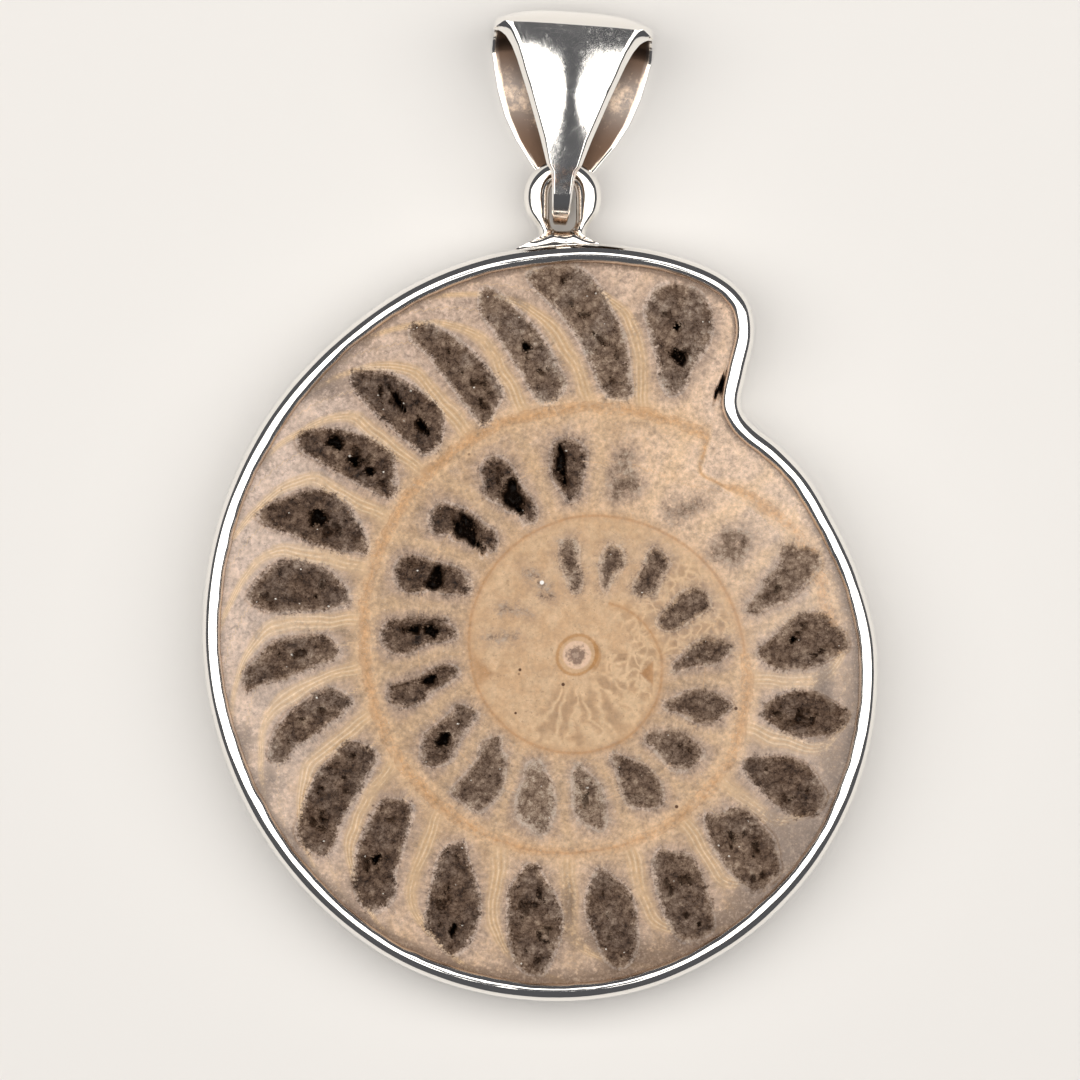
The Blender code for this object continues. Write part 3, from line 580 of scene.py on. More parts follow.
@dataclass(frozen=True)
class Shell:
    """The ammonite: its coiled wall, its chambers and the open pits in their filling."""

    outline: Outline = Outline()
    # Each chamber's tone and fill, and then its edge's bearings and distances in turn.
    outer_whorl: tuple[Chamber, ...] = chambers(
        (0.55, 0.86, 345, 11.5, 341, 12.6, 337.5, 13.7, 335.6, 14.7, 331.8, 15.4, 333.5, 16.1, 337.3, 17.3, 340.5, 17.0,
         343, 15.6, 345.5, 14.5, 346, 13.2, 347.6, 12.0),
        (0.46, 1.0, 359.5, 11.9, 356, 12.7, 353, 13.5, 350.2, 14.5, 349.8, 15.5, 351, 16.6, 354, 17.3, 356, 17.8,
         359, 17.9, 360.5, 17.0, 362.5, 15.8, 363.8, 14.6, 364, 13.5, 362.8, 12.6),
        (0.36, 1.0, 15.5, 12.8, 12, 13.5, 9.5, 14.6, 9, 15.6, 9.7, 16.6, 11, 17.6, 12, 18.3, 15.5, 18.1, 18, 17.2,
         19.8, 16.2, 20.4, 15.0, 19.8, 13.9, 18.5, 13.0),
        (0.38, 1.0, 31.5, 13.1, 29, 13.9, 26.5, 15.0, 25.5, 16.2, 26, 17.2, 28, 18.2, 29.5, 18.9, 34, 18.9, 36.5, 18.0,
         37, 17.0, 36.5, 15.5, 35.8, 14.2, 34.5, 13.3),
        (0.48, 1.0, 51, 13.5, 48.5, 14.2, 44.5, 14.4, 42.5, 15.2, 42.6, 16.5, 43, 17.7, 45, 18.8, 46.5, 19.6,
         52.8, 19.6, 54.2, 18.5, 54.8, 17.0, 54.5, 15.5, 53.5, 14.3),
        (0.45, 1.0, 67, 14.0, 63.5, 14.6, 61, 15.1, 60.3, 16.2, 61, 17.5, 61.7, 18.6, 62.5, 19.8, 64, 20.4, 69.5, 20.2,
         71, 18.8, 71.3, 17.2, 71, 15.8, 70, 14.7),
        (0.42, 1.0, 84, 14.2, 80.5, 14.9, 78, 15.8, 77, 17.0, 77.3, 18.2, 78, 19.4, 79.5, 20.4, 82, 20.9, 85, 20.0,
         86, 18.8, 87.6, 17.6, 88, 16.5, 86.8, 15.2),
        (0.45, 1.0, 101, 14.1, 97.5, 15.2, 95, 16.0, 93.5, 16.9, 93, 18.0, 93.8, 19.2, 95, 20.4, 96.5, 21.3,
         100.5, 21.0, 102.5, 20.0, 104, 18.8, 105.2, 17.5, 106, 16.3, 104.5, 15.0, 103, 14.2),
        (0.38, 1.0, 121, 14.5, 118, 15.3, 114.5, 16.2, 112, 17.2, 110.5, 18.3, 110.3, 19.5, 111, 20.7, 113, 21.5,
         116.5, 21.0, 119.3, 20.5, 120.8, 19.3, 122.3, 17.9, 124, 16.6, 124, 15.3),
        (0.38, 1.0, 138.5, 14.8, 135.5, 15.4, 133.3, 16.4, 131.5, 17.5, 130, 18.7, 127.5, 19.7, 127.3, 20.7,
         129.3, 21.8, 133, 21.5, 136, 20.4, 138.8, 19.2, 140.5, 18.0, 142.3, 16.8, 143, 15.9, 141, 15.2),
        (0.38, 1.0, 153.5, 14.8, 150.8, 15.7, 148.3, 16.8, 146.3, 18.0, 144.3, 19.4, 141.5, 20.7, 142, 21.6, 147, 22.0,
         150, 21.0, 153, 19.9, 155.8, 18.5, 157.3, 17.5, 159.3, 16.3, 157.2, 15.3),
        (0.43, 1.0, 168.5, 15.2, 165.7, 16.2, 164.3, 17.3, 162.8, 18.5, 161.8, 19.6, 160, 20.6, 161, 21.4, 163.5, 21.1,
         166, 20.4, 168.7, 19.4, 170, 18.4, 171.8, 17.3, 172.3, 16.5, 170.3, 15.5),
        (0.43, 1.0, 180, 15.7, 178.3, 16.7, 176.8, 18.0, 175.3, 19.4, 174.7, 20.7, 174, 21.9, 177, 22.0, 179.5, 21.0,
         182, 20.2, 183.3, 18.9, 184.3, 17.6, 184.3, 16.6, 182.3, 15.9),
        (0.4, 1.0, 193, 15.5, 190.7, 16.5, 189.5, 17.8, 188.5, 19.2, 187.9, 20.4, 188.5, 21.3, 190, 22.1, 193, 21.6,
         196, 21.0, 198.3, 20.0, 198.9, 18.8, 199, 17.5, 197.5, 16.6, 195.3, 15.7),
        (0.35, 1.0, 206, 15.5, 204.8, 16.2, 203.5, 17.5, 202.9, 19.0, 202.9, 20.5, 202.6, 22.0, 203.6, 23.1,
         206.5, 22.5, 209, 21.6, 211.5, 20.9, 213.2, 19.7, 213.5, 18.4, 211.5, 17.2, 209, 16.0),
        (0.36, 1.0, 220, 16.1, 218.8, 17.2, 218, 18.5, 217.3, 20.0, 216.8, 21.5, 216.7, 22.8, 218.2, 23.4, 221, 22.7,
         223.3, 21.7, 225.5, 20.4, 226.8, 19.0, 227.3, 17.9, 224.8, 17.0, 222, 16.2),
        (0.34, 1.0, 233, 16.6, 231.7, 17.9, 231, 19.3, 230.2, 20.7, 230, 22.0, 230, 23.2, 231.5, 23.8, 234, 23.2,
         236.3, 22.3, 238.3, 21.0, 240, 19.5, 240.9, 18.2, 239, 17.2, 236, 16.5),
        (0.47, 1.0, 247.7, 16.3, 246.3, 17.7, 245.3, 19.2, 244.3, 20.8, 243.5, 22.3, 242.2, 23.6, 243, 24.3,
         245.5, 24.1, 247.8, 23.0, 250, 21.7, 252, 20.3, 253.6, 19.0, 254.3, 18.0, 252, 17.3, 250, 16.6),
        (0.54, 1.0, 262, 16.8, 260, 17.9, 258.5, 19.3, 257, 20.8, 255.5, 22.3, 254.3, 23.7, 255.5, 25.0, 258, 24.3,
         260.3, 23.0, 262.5, 21.8, 264.5, 20.5, 266.3, 19.0, 267.7, 18.0, 265.5, 17.0),
        (0.56, 1.0, 277.5, 17.1, 274.8, 18.0, 272.2, 19.6, 270, 21.0, 268, 22.2, 265.5, 23.4, 263.2, 24.5, 262.6, 25.3,
         266, 25.7, 270.5, 25.5, 273.5, 24.3, 276, 22.7, 278.5, 21.3, 280, 19.8, 281.3, 18.3, 281.8, 17.5),
        (0.52, 1.0, 289.8, 18.3, 287, 18.9, 285.8, 20.0, 284, 21.0, 282.5, 22.0, 281.2, 23.3, 282.5, 24.8, 284.5, 25.3,
         288, 25.4, 291, 24.6, 292.8, 23.2, 292.8, 21.8, 291.8, 20.5, 292, 19.0),
    )
    middle_whorl: tuple[Chamber, ...] = chambers(
        (0.46, 1.0, 6.5, 6.4, 2, 6.8, -3, 7.3, -6, 8.0, -7, 8.6, -5.5, 9.5, -3.5, 10.3, -0.5, 10.0, 3.5, 9.3, 5, 8.5,
         5.7, 7.8, 8, 7.1, 9, 6.6),
        (0.46, 1.0, 28, 6.6, 23.5, 7.1, 19, 7.6, 15.5, 8.3, 15, 9.2, 16, 10.0, 18, 10.8, 22, 10.5, 26.5, 10.0,
         29.5, 9.2, 29.5, 8.2, 30, 7.5, 31.5, 6.9),
        (0.48, 1.0, 47.5, 7.0, 42, 7.5, 38, 8.0, 36.3, 8.8, 36.5, 9.8, 37.5, 10.6, 41.5, 10.7, 46.5, 10.4, 49.8, 9.8,
         50.5, 8.8, 51, 7.9, 51.5, 7.2),
        (0.47, 1.0, 69, 7.0, 65, 7.5, 61, 8.1, 58, 8.7, 57, 9.5, 57.3, 10.4, 59.5, 11.3, 62.5, 11.4, 66.5, 11.0,
         70.5, 10.5, 72, 9.6, 71.5, 8.7, 71.5, 7.8, 71.8, 7.1),
        (0.64, 1.0, 89, 7.3, 85, 7.8, 81, 8.5, 79, 9.3, 79, 10.3, 80, 11.2, 82, 11.7, 86, 11.2, 90, 10.7, 91.5, 9.7,
         92, 8.6, 92, 7.9),
        (0.66, 0.88, 110, 7.4, 105, 8.0, 101, 8.6, 99, 9.3, 98.2, 10.3, 99, 11.3, 101, 12.1, 105, 11.8, 109.5, 11.5,
         112, 10.8, 113, 9.8, 113, 8.8, 114.5, 8.0),
        (0.5, 1.0, 132.5, 7.4, 129, 8.0, 124.5, 8.3, 122, 8.9, 120, 9.7, 119.3, 10.6, 120.5, 11.5, 122.5, 12.3,
         127.5, 12.3, 132.7, 12.3, 132.8, 11.3, 132.8, 10.3, 133.5, 9.4, 136.5, 8.6, 135.5, 7.8),
        (0.4, 1.0, 150, 7.6, 147.5, 8.2, 146, 8.9, 144.5, 9.6, 142.3, 10.2, 140.3, 11.0, 141.8, 12.0, 144.5, 12.4,
         148.5, 12.0, 152.5, 11.3, 153.5, 10.2, 155, 9.3, 157.5, 8.5, 154, 8.0),
        (0.36, 1.0, 172, 7.9, 169.5, 8.3, 167.3, 9.0, 166.3, 9.8, 163.8, 10.4, 162.8, 11.3, 163.5, 12.3, 166.5, 12.8,
         170, 12.6, 171.3, 11.6, 172.5, 10.5, 174.3, 9.6, 175.8, 8.8, 175, 8.2),
        (0.33, 1.0, 188.5, 8.0, 186.3, 8.6, 185, 9.3, 184, 10.0, 181.3, 10.8, 180, 11.6, 181.8, 12.5, 184.5, 13.0,
         189, 12.8, 191.5, 12.0, 193.3, 11.0, 194.5, 10.0, 195.8, 9.0, 193, 8.7, 191.5, 8.2),
        (0.33, 1.0, 209, 8.2, 206.5, 9.0, 204.5, 9.7, 204, 10.6, 201.5, 11.3, 200.3, 12.0, 202, 12.9, 205, 13.3,
         209.5, 13.2, 212, 12.3, 213, 11.3, 215, 10.3, 216.3, 9.4, 214.5, 8.7, 212, 8.3),
        (0.3, 1.0, 231.5, 8.8, 229.5, 9.5, 226.5, 10.2, 225, 11.0, 223.5, 11.7, 220.3, 12.2, 221.5, 12.9, 224.5, 13.5,
         228.5, 13.3, 231, 12.4, 233.3, 11.5, 234.3, 10.6, 236.5, 9.7, 234.5, 9.1),
        (0.3, 1.0, 251, 9.2, 248.5, 9.9, 245.5, 10.5, 243, 11.3, 240.3, 12.0, 241.5, 13.0, 243.3, 14.0, 247, 14.2,
         250, 13.5, 251.3, 12.5, 252, 11.6, 253.8, 10.7, 254.5, 9.9, 253.5, 9.4),
        (0.34, 1.0, 267, 10.1, 264.8, 10.8, 262.5, 11.7, 262, 12.6, 262.8, 13.5, 265, 14.3, 269, 14.2, 272.5, 13.6,
         273, 13.0, 272, 12.0, 271.5, 11.2, 270, 10.4),
        (0.62, 0.66, 283.5, 10.5, 281.5, 11.2, 280.5, 12.1, 281.5, 12.9, 282, 13.6, 285, 13.9, 286, 12.9, 289.5, 12.3,
         291.5, 11.7, 289, 11.4, 286.5, 11.0),
        (0.66, 0.5, 304, 10.7, 300.5, 11.2, 301.5, 12.0, 305, 12.4, 307.5, 13.3, 309.8, 13.2, 310, 12.2, 308.5, 11.5,
         308, 10.8),
        (0.6, 0.66, 323, 10.9, 321.3, 11.7, 319.8, 12.6, 321, 13.2, 325.5, 13.9, 328, 13.3, 330.5, 12.5, 329, 11.9,
         326.5, 11.4),
    )
    inner_whorl: tuple[Chamber, ...] = chambers(
        (0.46, 1.0, 339, 5.7, 335, 6.1, 332.5, 6.9, 330, 7.6, 329.3, 8.3, 331, 9.0, 334, 9.4, 340, 9.4, 342, 8.5,
         343.5, 7.6, 346, 6.8, 345.5, 6.2, 342.5, 5.8),
        (0.45, 1.0, 313, 5.6, 309, 5.9, 308, 6.7, 306.5, 7.4, 305, 8.1, 306, 8.7, 310, 8.8, 315.5, 8.6, 317, 7.9,
         319.5, 7.2, 322, 6.5, 320, 6.0, 317, 5.7),
        (0.48, 0.95, 293.5, 4.6, 289.5, 4.9, 286.5, 5.5, 284.5, 6.1, 285, 6.9, 287, 7.5, 290.5, 7.6, 295, 7.4, 298, 6.9,
         297, 6.3, 294.5, 5.7, 296, 5.1),
        (0.52, 0.92, 268.5, 4.1, 264.5, 4.5, 262.5, 5.2, 260.5, 6.0, 260.5, 6.8, 262.5, 7.5, 267, 7.6, 270.5, 7.2,
         270.5, 6.4, 272, 5.6, 274, 5.0, 272.5, 4.4),
        (0.62, 0.56, 246, 4.0, 241, 4.3, 240, 5.2, 238, 5.9, 239.5, 6.4, 242.5, 6.1, 244, 5.4, 247, 4.6),
        (0.66, 0.47, 221, 4.0, 217, 4.6, 213, 5.3, 210, 6.0, 213, 6.1, 216.5, 5.3, 220.5, 4.6),
        (0.68, 0.44, 196, 3.9, 191, 4.5, 189, 5.2, 190, 6.0, 194, 6.0, 196, 5.3, 198, 4.5),
    )
    pits: tuple[Pit, ...] = tuple(Pit(*sizes) for sizes in (
        (289.2, 20.9, 0.75, 1.0), (287.0, 22.6, 0.5, 0.35), (221.4, 21.3, 0.95, 0.75), (221.0, 19.5, 0.85, 0.55),
        (221.6, 18.3, 0.45, 0.4), (207.9, 19.4, 1.15, 0.85), (234.8, 20.6, 1.4, 0.36), (235.9, 18.2, 0.9, 0.45),
        (114.3, 19.9, 0.85, 0.35), (134.5, 18.9, 0.55, 0.3), (260.6, 20.6, 0.5, 0.42), (355.9, 14.4, 0.42, 0.36),
        (265.2, 12.6, 1.95, 0.72), (247.7, 11.2, 1.8, 1.05), (228.5, 10.9, 2.05, 1.1), (208.3, 10.6, 0.98, 1.4),
        (189.6, 9.8, 0.8, 0.72), (188.9, 10.8, 0.62, 0.52), (170.0, 9.9, 0.8, 0.52), (147.2, 10.5, 0.95, 0.85),
        (298.2, 20.15, 1.25, 0.44),
    ))
    # The coiled wall's radius as it winds outwards, against the angle that it has turned through.
    wall: Table = (
        (-60, 3.95), (-30, 4.75), (-15, 5.15), (0, 5.54), (15, 5.8), (30, 6.07), (60, 6.4), (90, 6.47), (120, 6.6),
        (150, 6.8), (180, 7.06), (210, 7.59), (240, 8.32), (270, 9.11), (300, 9.77), (330, 10.56), (360, 11.09),
        (375, 11.55), (390, 12.08), (420, 12.74), (450, 13.07), (480, 13.33), (510, 13.6), (540, 13.99), (570, 14.85),
        (600, 15.84), (630, 16.3), (640, 16.5), (650, 16.6), (658, 16.75), (664, 17.0), (668, 17.8), (674, 19.2),
        (690, 20.6), (720, 21.0),
    )
    edge_steps: int = 5
    hook: float = 15.0
    hook_start: float = 0.83
    rim_reach: float = 1.02
    # How near a chamber or a pit is still looked at, and the distance that stands for out of reach.
    nearby: float = 2.5
    far: float = 9.0

    def hooked(self, bearing: Array, radius: Array) -> Array:
        """How far the partitions are swept back near the rim: hook times t², with t from 0 at hook_start to 1 there."""
        share = radius / self.outline.radius(bearing, self.rim_reach)
        return self.hook * np.clip((share - self.hook_start) / (1 - self.hook_start), 0.0, 1.2) ** 2

    def chamber_field(self, points: Array) -> dict[str, Array]:
        """Where points lie against the nearest chamber.

        A chamber's edge is a smooth closed curve in short straight pieces. The distance is to the nearest piece, and
        a point is inside if a line from it crosses an odd number of them.

        Args:
            points: the points, one to a row.

        Returns:
            "chamber", the distance inside the edge (below 0 outside); "foot", the nearest place on the edge; and
            "tone" and "fill", blended from the chambers near by.
        """
        count = len(points)
        best, foot = np.full(count, -self.far), np.zeros((count, 3))
        total, weight = np.zeros((2, count)), np.zeros(count)
        for chamber in self.outer_whorl + self.middle_whorl + self.inner_whorl:
            start = smooth_curve(self.outline.at(*np.array(chamber.edge).T), self.edge_steps)
            low, high = start.min(axis=0) - self.nearby, start.max(axis=0) + self.nearby
            near = np.flatnonzero(np.all((points > low) & (points < high), axis=1))
            along = np.roll(start, -1, axis=0) - start
            offset = points[near, None, :] - start[None, :, :]
            share = np.clip((offset * along).sum(axis=2) / (along ** 2).sum(axis=1), 0.0, 1.0)
            apart = np.linalg.norm(offset - share[:, :, None] * along, axis=2)
            nearest = apart.argmin(axis=1)
            each = np.arange(len(near))
            rise = np.where(along[:, 1] == 0, 1e-9, along[:, 1])
            crosses = (offset[:, :, 1] >= 0) != (offset[:, :, 1] >= along[:, 1])
            before = offset[:, :, 0] < offset[:, :, 1] * along[:, 0] / rise
            inside = (crosses & before).sum(axis=1) % 2 == 1
            distance = np.where(inside, 1.0, -1.0) * apart[each, nearest]
            closeness = np.exp(2.5 * np.clip(distance, -3.0, 1.0))
            total[0, near] += closeness * chamber.tone
            total[1, near] += closeness * chamber.fill
            weight[near] += closeness
            better = distance > best[near]
            chosen = near[better]
            best[chosen] = distance[better]
            piece = nearest[better]
            foot[chosen, :2] = start[piece] + share[each[better], piece][:, None] * along[piece]
        found = weight > 1e-6
        weight = np.maximum(weight, 1e-9)
        return {
            "chamber": np.clip(best, -3.0, 1.5),
            "foot": foot,
            "tone": total[0] / weight,
            "fill": np.where(found, total[1] / weight, 1.0),
        }

    def septum_field(self, points: Array) -> Array:
        """The distance from the middle of the nearest partition between two chambers.

        Each point and each chamber has a total turn: its bearing plus a full turn for every time that the wall has
        passed inside it. The partition is halfway between the middle lines of a point's two neighbouring chambers.

        Args:
            points: the points, one to a row.

        Returns:
            The distance, signed along the bearing.
        """
        bearing, radius = self.outline.polar(points)
        sweep = self.hooked(bearing, radius)
        turns = (radius > self.wall_radius(bearing)).astype(int)
        turns += radius > self.wall_radius(bearing + 360.0)
        coiled = [(each, 0.0) for each in self.inner_whorl] + [(each, 360.0) for each in self.middle_whorl]
        coiled += [(each, 360.0 if each.axis[0] > 330 else 720.0) for each in self.outer_whorl]
        at, middle, half, lean = np.array([each.axis for each, _ in coiled]).T
        at = at + np.array([start for _, start in coiled])
        is_outer = np.array([each in self.outer_whorl for each, _ in coiled])
        out = np.clip((radius[:, None] - middle) / half, -1.4, 1.4)
        offset = (bearing + 360.0 * turns)[:, None] - (at - out * lean / 2 - sweep[:, None] * is_outer)
        ahead = np.where(offset >= 0, offset, 999.0).min(axis=1)
        behind = np.where(offset < 0, -offset, 999.0).min(axis=1)
        halfway = (ahead - behind) / 2
        return np.where(ahead + behind < 60, np.radians(halfway) * radius, self.far)

    def wall_radius(self, turn: Array) -> Array:
        """The coiled wall's radius after it has turned through an angle in degrees."""
        return table_value(self.wall, turn)

    def wall_field(self, points: Array) -> tuple[Array, Array]:
        """The signed distance from the coiled wall, and how far out a point is in the innermost disc.

        Args:
            points: the points, one to a row.

        Returns:
            The distance from the nearest turn of the wall, and the radius as a share of the first turn's.
        """
        bearing, radius = self.outline.polar(points)
        turns = [radius - self.wall_radius(bearing + turn) for turn in (0.0, 360.0)]
        inner = np.where(bearing > 300, radius - self.wall_radius(bearing - 360.0), self.far)
        gaps = np.stack([*turns, inner])
        nearest = np.abs(gaps).argmin(axis=0)
        ended = 4 * smooth_step(300, 306, bearing) * smooth_step(13.5, 15.0, radius)
        return gaps[nearest, np.arange(len(points))] + ended, np.clip(radius / self.wall_radius(bearing), 0.0, 2.0)

    def pit_field(self, points: Array) -> Array:
        """How deep in an open pit points lie, from 0 outside to 1 on its floor.

        A pit's edge is an ellipse with waves and a lattice noise round it, so that it looks broken, not drilled.

        Args:
            points: the points, one to a row.

        Returns:
            The depth.
        """
        depth = np.zeros(len(points))
        rough = lattice_noise(points, 0.32, 11)
        for index, pit in enumerate(self.pits):
            centre = self.outline.at(np.array(pit.bearing), np.array(pit.radius))
            turn = math.radians(pit.bearing)
            out, side = np.array((math.cos(turn), -math.sin(turn))), np.array((math.sin(turn), math.cos(turn)))
            near = np.hypot(*(points - centre).T) < self.nearby
            place = points[near] - centre
            along, across = place @ out / (pit.length / 2), place @ side / (pit.width / 2)
            angle = np.arctan2(across, along)
            ragged = 1 + 0.14 * np.sin(3 * angle + index) + 0.1 * np.sin(5 * angle + 2 * index)
            share = np.hypot(along, across) * ragged + 0.9 * (rough[near] - 0.5)
            depth[near] = np.maximum(depth[near], smooth_step(1.22, 0.8, share))
        return depth

    def cavity_field(self, points: Array, chamber: Array, tone: Array) -> Array:
        """How far points lie in the small hollows between a chamber's crystals, from 0 to 1.

        The hollows are where two lattice noises add up to more than a limit, away from the chamber's edge, and
        fewer in a light chamber.

        Args:
            points: the points, one to a row.
            chamber: their distances inside a chamber's edge.
            tone: how light the chamber is.

        Returns:
            The depth in a hollow.
        """
        noise = 0.55 * lattice_noise(points, 0.75, 21) + 0.45 * lattice_noise(points, 0.3, 22)
        limit = 0.66 + 0.2 * np.clip(tone - 0.3, 0.0, 0.5)
        return smooth_step(0.0, 0.12, noise - limit) * smooth_step(0.3, 0.9, chamber)


@dataclass(frozen=True)
class Calcite:
    """The slice's polished stone: tan shell calcite with golden walls, and dark crystal in its chambers."""

    tan: Colour = (0.515, 0.338, 0.205)
    cream: Colour = (0.74, 0.52, 0.352)
    blush: Colour = (0.6, 0.45, 0.365)
    bruise: Colour = (0.27, 0.19, 0.145)
    grain_dark: Colour = (0.315, 0.205, 0.135)
    grain_pale: Colour = (0.8, 0.64, 0.5)
    rind: Colour = (0.395, 0.28, 0.212)
    ghost: Colour = (0.31, 0.205, 0.145)
    septum: Colour = (0.605, 0.41, 0.24)
    gold: Colour = (0.505, 0.31, 0.15)
    thread: Colour = (0.745, 0.56, 0.37)
    band: Colour = (0.63, 0.415, 0.242)
    wall: Colour = (0.52, 0.295, 0.14)
    wall_line: Colour = (0.42, 0.215, 0.09)
    disc: Colour = (0.555, 0.35, 0.195)
    disc_pale: Colour = (0.64, 0.435, 0.262)
    lobe: Colour = (0.385, 0.24, 0.135)
    suture: Colour = (0.68, 0.475, 0.29)
    arc: Colour = (0.42, 0.27, 0.15)
    disc_speck: Colour = (0.25, 0.14, 0.07)
    orange: Colour = (0.385, 0.195, 0.08)
    first_chamber: Colour = (0.56, 0.36, 0.205)
    first_rim: Colour = (0.42, 0.215, 0.08)
    pearl: Colour = (0.69, 0.475, 0.335)
    core: Colour = (0.235, 0.15, 0.108)
    core_pale: Colour = (0.45, 0.32, 0.235)
    painted_hollow_shade: Colour = (0.03, 0.014, 0.007)
    speck: Colour = (0.1, 0.045, 0.02)
    dot: Colour = (0.13, 0.07, 0.035)
    painted_glint_spot_colour: Colour = (0.95, 0.92, 0.88)
    # The pits' dark brown walls, partly painted shade, and their near-black floor, which is painted shade.
    pit_side: Colour = (0.04, 0.019, 0.01)
    pit: Colour = (0.008, 0.004, 0.002)
    painted_glint_colour: Colour = (0.8, 0.74, 0.66)
    cool: Colour = (0.93, 1.03, 1.18)
    crystal: tuple[tuple[float, Colour], ...] = (
        (0.0, (0.01, 0.005, 0.003)), (0.2, (0.045, 0.024, 0.014)), (0.38, (0.098, 0.058, 0.037)),
        (0.55, (0.165, 0.108, 0.074)), (0.72, (0.265, 0.185, 0.13)), (1.0, (0.5, 0.4, 0.31)),
    )
    # Brown specks, and bright spots of painted glint, that stand out, each with its place across and up the slice and
    # its radius.
    specks: Table = (
        (-1.29, -10.81, 0.13), (1.56, -11.78, 0.15), (-1.58, -13.67, 0.11), (12.97, -13.37, 0.15),
        (9.05, -19.85, 0.15),
    )
    painted_glint_spots: Table = ((0.16, -5.05, 0.17), (9.79, -9.99, 0.13), (9.7, -12.84, 0.12))
    face: float = 4.3
    # How fast the growth lines come, across the partitions and the wall, in radians for a millimetre.
    growth_lines: float = 20.0
    wall_lines: float = 19.0
    # The first chamber's radius, and how far out and below the middle the innermost disc's orange marks are.
    first_radius: float = 1.3
    notch_out: float = 4.12
    blotch_out: float = 5.4
    notch_drop: float = 1.2

    def near(self, shader: Shader, across: float, up: float, radius: float) -> Signal:
        """How near a place is to a round spot on the face, so that the spot isn't seen behind: 1 in it, 0 outside."""
        return shader.vector("DISTANCE", shader.place, (across, up, self.face), 1).between(radius, 0.55 * radius)

    def lay_stone(self, shader: Shader) -> None:
        """Lays the pale calcite between the chambers: cream in its clearest part, pink and bruised near the rim, and
        darkened by painted shade towards the lower right and the outer left.

        Args:
            shader: the material.
        """
        broad, cloud, fleck = shader.noise(0.26, 3.0, 0.6), shader.noise(1.05, 4.0, 0.6), shader.noise(2.8, 4.0, 0.7)
        shader.colour = shader.mix(shader.read("cream") + broad.swing(1.2) + cloud.swing(1.3), self.tan, self.cream)
        pink = shader.read("blush")
        shader.lay(pink * 0.85 + cloud.swing(0.9), self.blush)
        bruised = (fleck * 0.8 + cloud * 0.6 - 0.06).between(0.61, 0.86)
        shader.lay(bruised * (0.3 + 0.75 * pink).least(1.0), self.bruise)
        # Painted shade: the stone is made darker towards the lower right and the outer left.
        shader.shade(1.0 - 0.32 * shader.read("painted_side_shade"))

    def lay_grain(self, shader: Shader, halo: Signal) -> None:
        """Lays the stone's fine grain over its colour: clouds, flecks, crumbs and needles that point at the chambers.

        Args:
            shader: the material.
            halo: how strongly a place belongs to the rind round a chamber.
        """
        cloud, fleck, grain = shader.noise(1.3, 4.0, 0.6), shader.noise(3.2, 4.0, 0.7), shader.noise(7.5, 3.0, 0.7)
        needle = shader.noise(6.5, 2.0, 0.6, shader.read("foot", "Vector"))
        calm = shader.read("septum").size().between(0.75, 0.25) * shader.read("lined").between(0.1, 0.6)
        strong = (0.45 + 0.55 * shader.read("disc").between(0.95, 1.1)) * (1.0 - 0.5 * calm)
        shader.lay(grain.between(0.56, 0.74) * 0.48 * strong, self.grain_dark)
        shader.lay(grain.between(0.44, 0.27) * 0.5 * strong, self.grain_pale)
        mottle = cloud.swing(0.9) + fleck.swing(1.5) + grain.swing(0.8) + (needle - 0.5) * halo * 1.2
        shader.shade(1.0 + mottle * strong)

    def lay_inner_disc(self, shader: Shader) -> None:
        """Lays the innermost whorls: pale suture lines round tan lobes, and the shell's first chamber.

        Args:
            shader: the material.
        """
        middle = shader.vector("ADD", shader.place, (-Outline.middle[0], -Outline.middle[1], 0.0))
        warp, speckle, slow = shader.noise(1.0, 3.0), shader.noise(5.0, 4.0, 0.7), shader.noise(0.9, 1.0)
        across, up = shader.part(middle, 0), shader.part(middle, 1)
        radius, bearing = (across * across + up * up).maths("SQRT"), (0.0 - up).maths("ARCTAN2", across)
        share = shader.read("disc")
        inside = share.between(1.03, 0.94)
        base = shader.mix((warp + speckle.swing(0.9)).between(0.36, 0.66), self.disc, self.disc_pale)
        shader.lay(inside * 0.8, base)

        fan = shader.joined(bearing * 3.9 + slow * 1.3, radius * 0.3 + warp * 0.5, 0.0)
        lobes = shader.cells(1.0, "DISTANCE_TO_EDGE", fan)
        net = shader.cells(1.3, "DISTANCE_TO_EDGE", shader.bent(slow * 1.2 + warp * 0.5), 0.8)
        lower = bearing.between(0.4, 0.75) * bearing.between(2.35, 1.95)
        right = (bearing + 0.02).size().between(0.95, 0.6)
        cell = net + (lobes - net) * lower + speckle.swing(0.16)
        where = lower.most(right) * share.between(0.26, 0.42) * share.between(1.0, 0.9)
        shader.lay(cell.between(0.03, 0.3) * where * 0.75, self.lobe)
        shader.lay(cell.between(0.15, 0.0) * where * 0.6, self.suture)
        arcs = (radius * 7.0 + slow * 16.0).wave().between(0.0, 1.0) * (1.0 - where) * share.between(0.3, 0.5)
        shader.lay(arcs * inside * 0.3 * speckle.between(0.35, 0.6), self.arc)
        shader.lay(speckle.between(0.59, 0.67) * inside * 0.5, self.disc_speck)

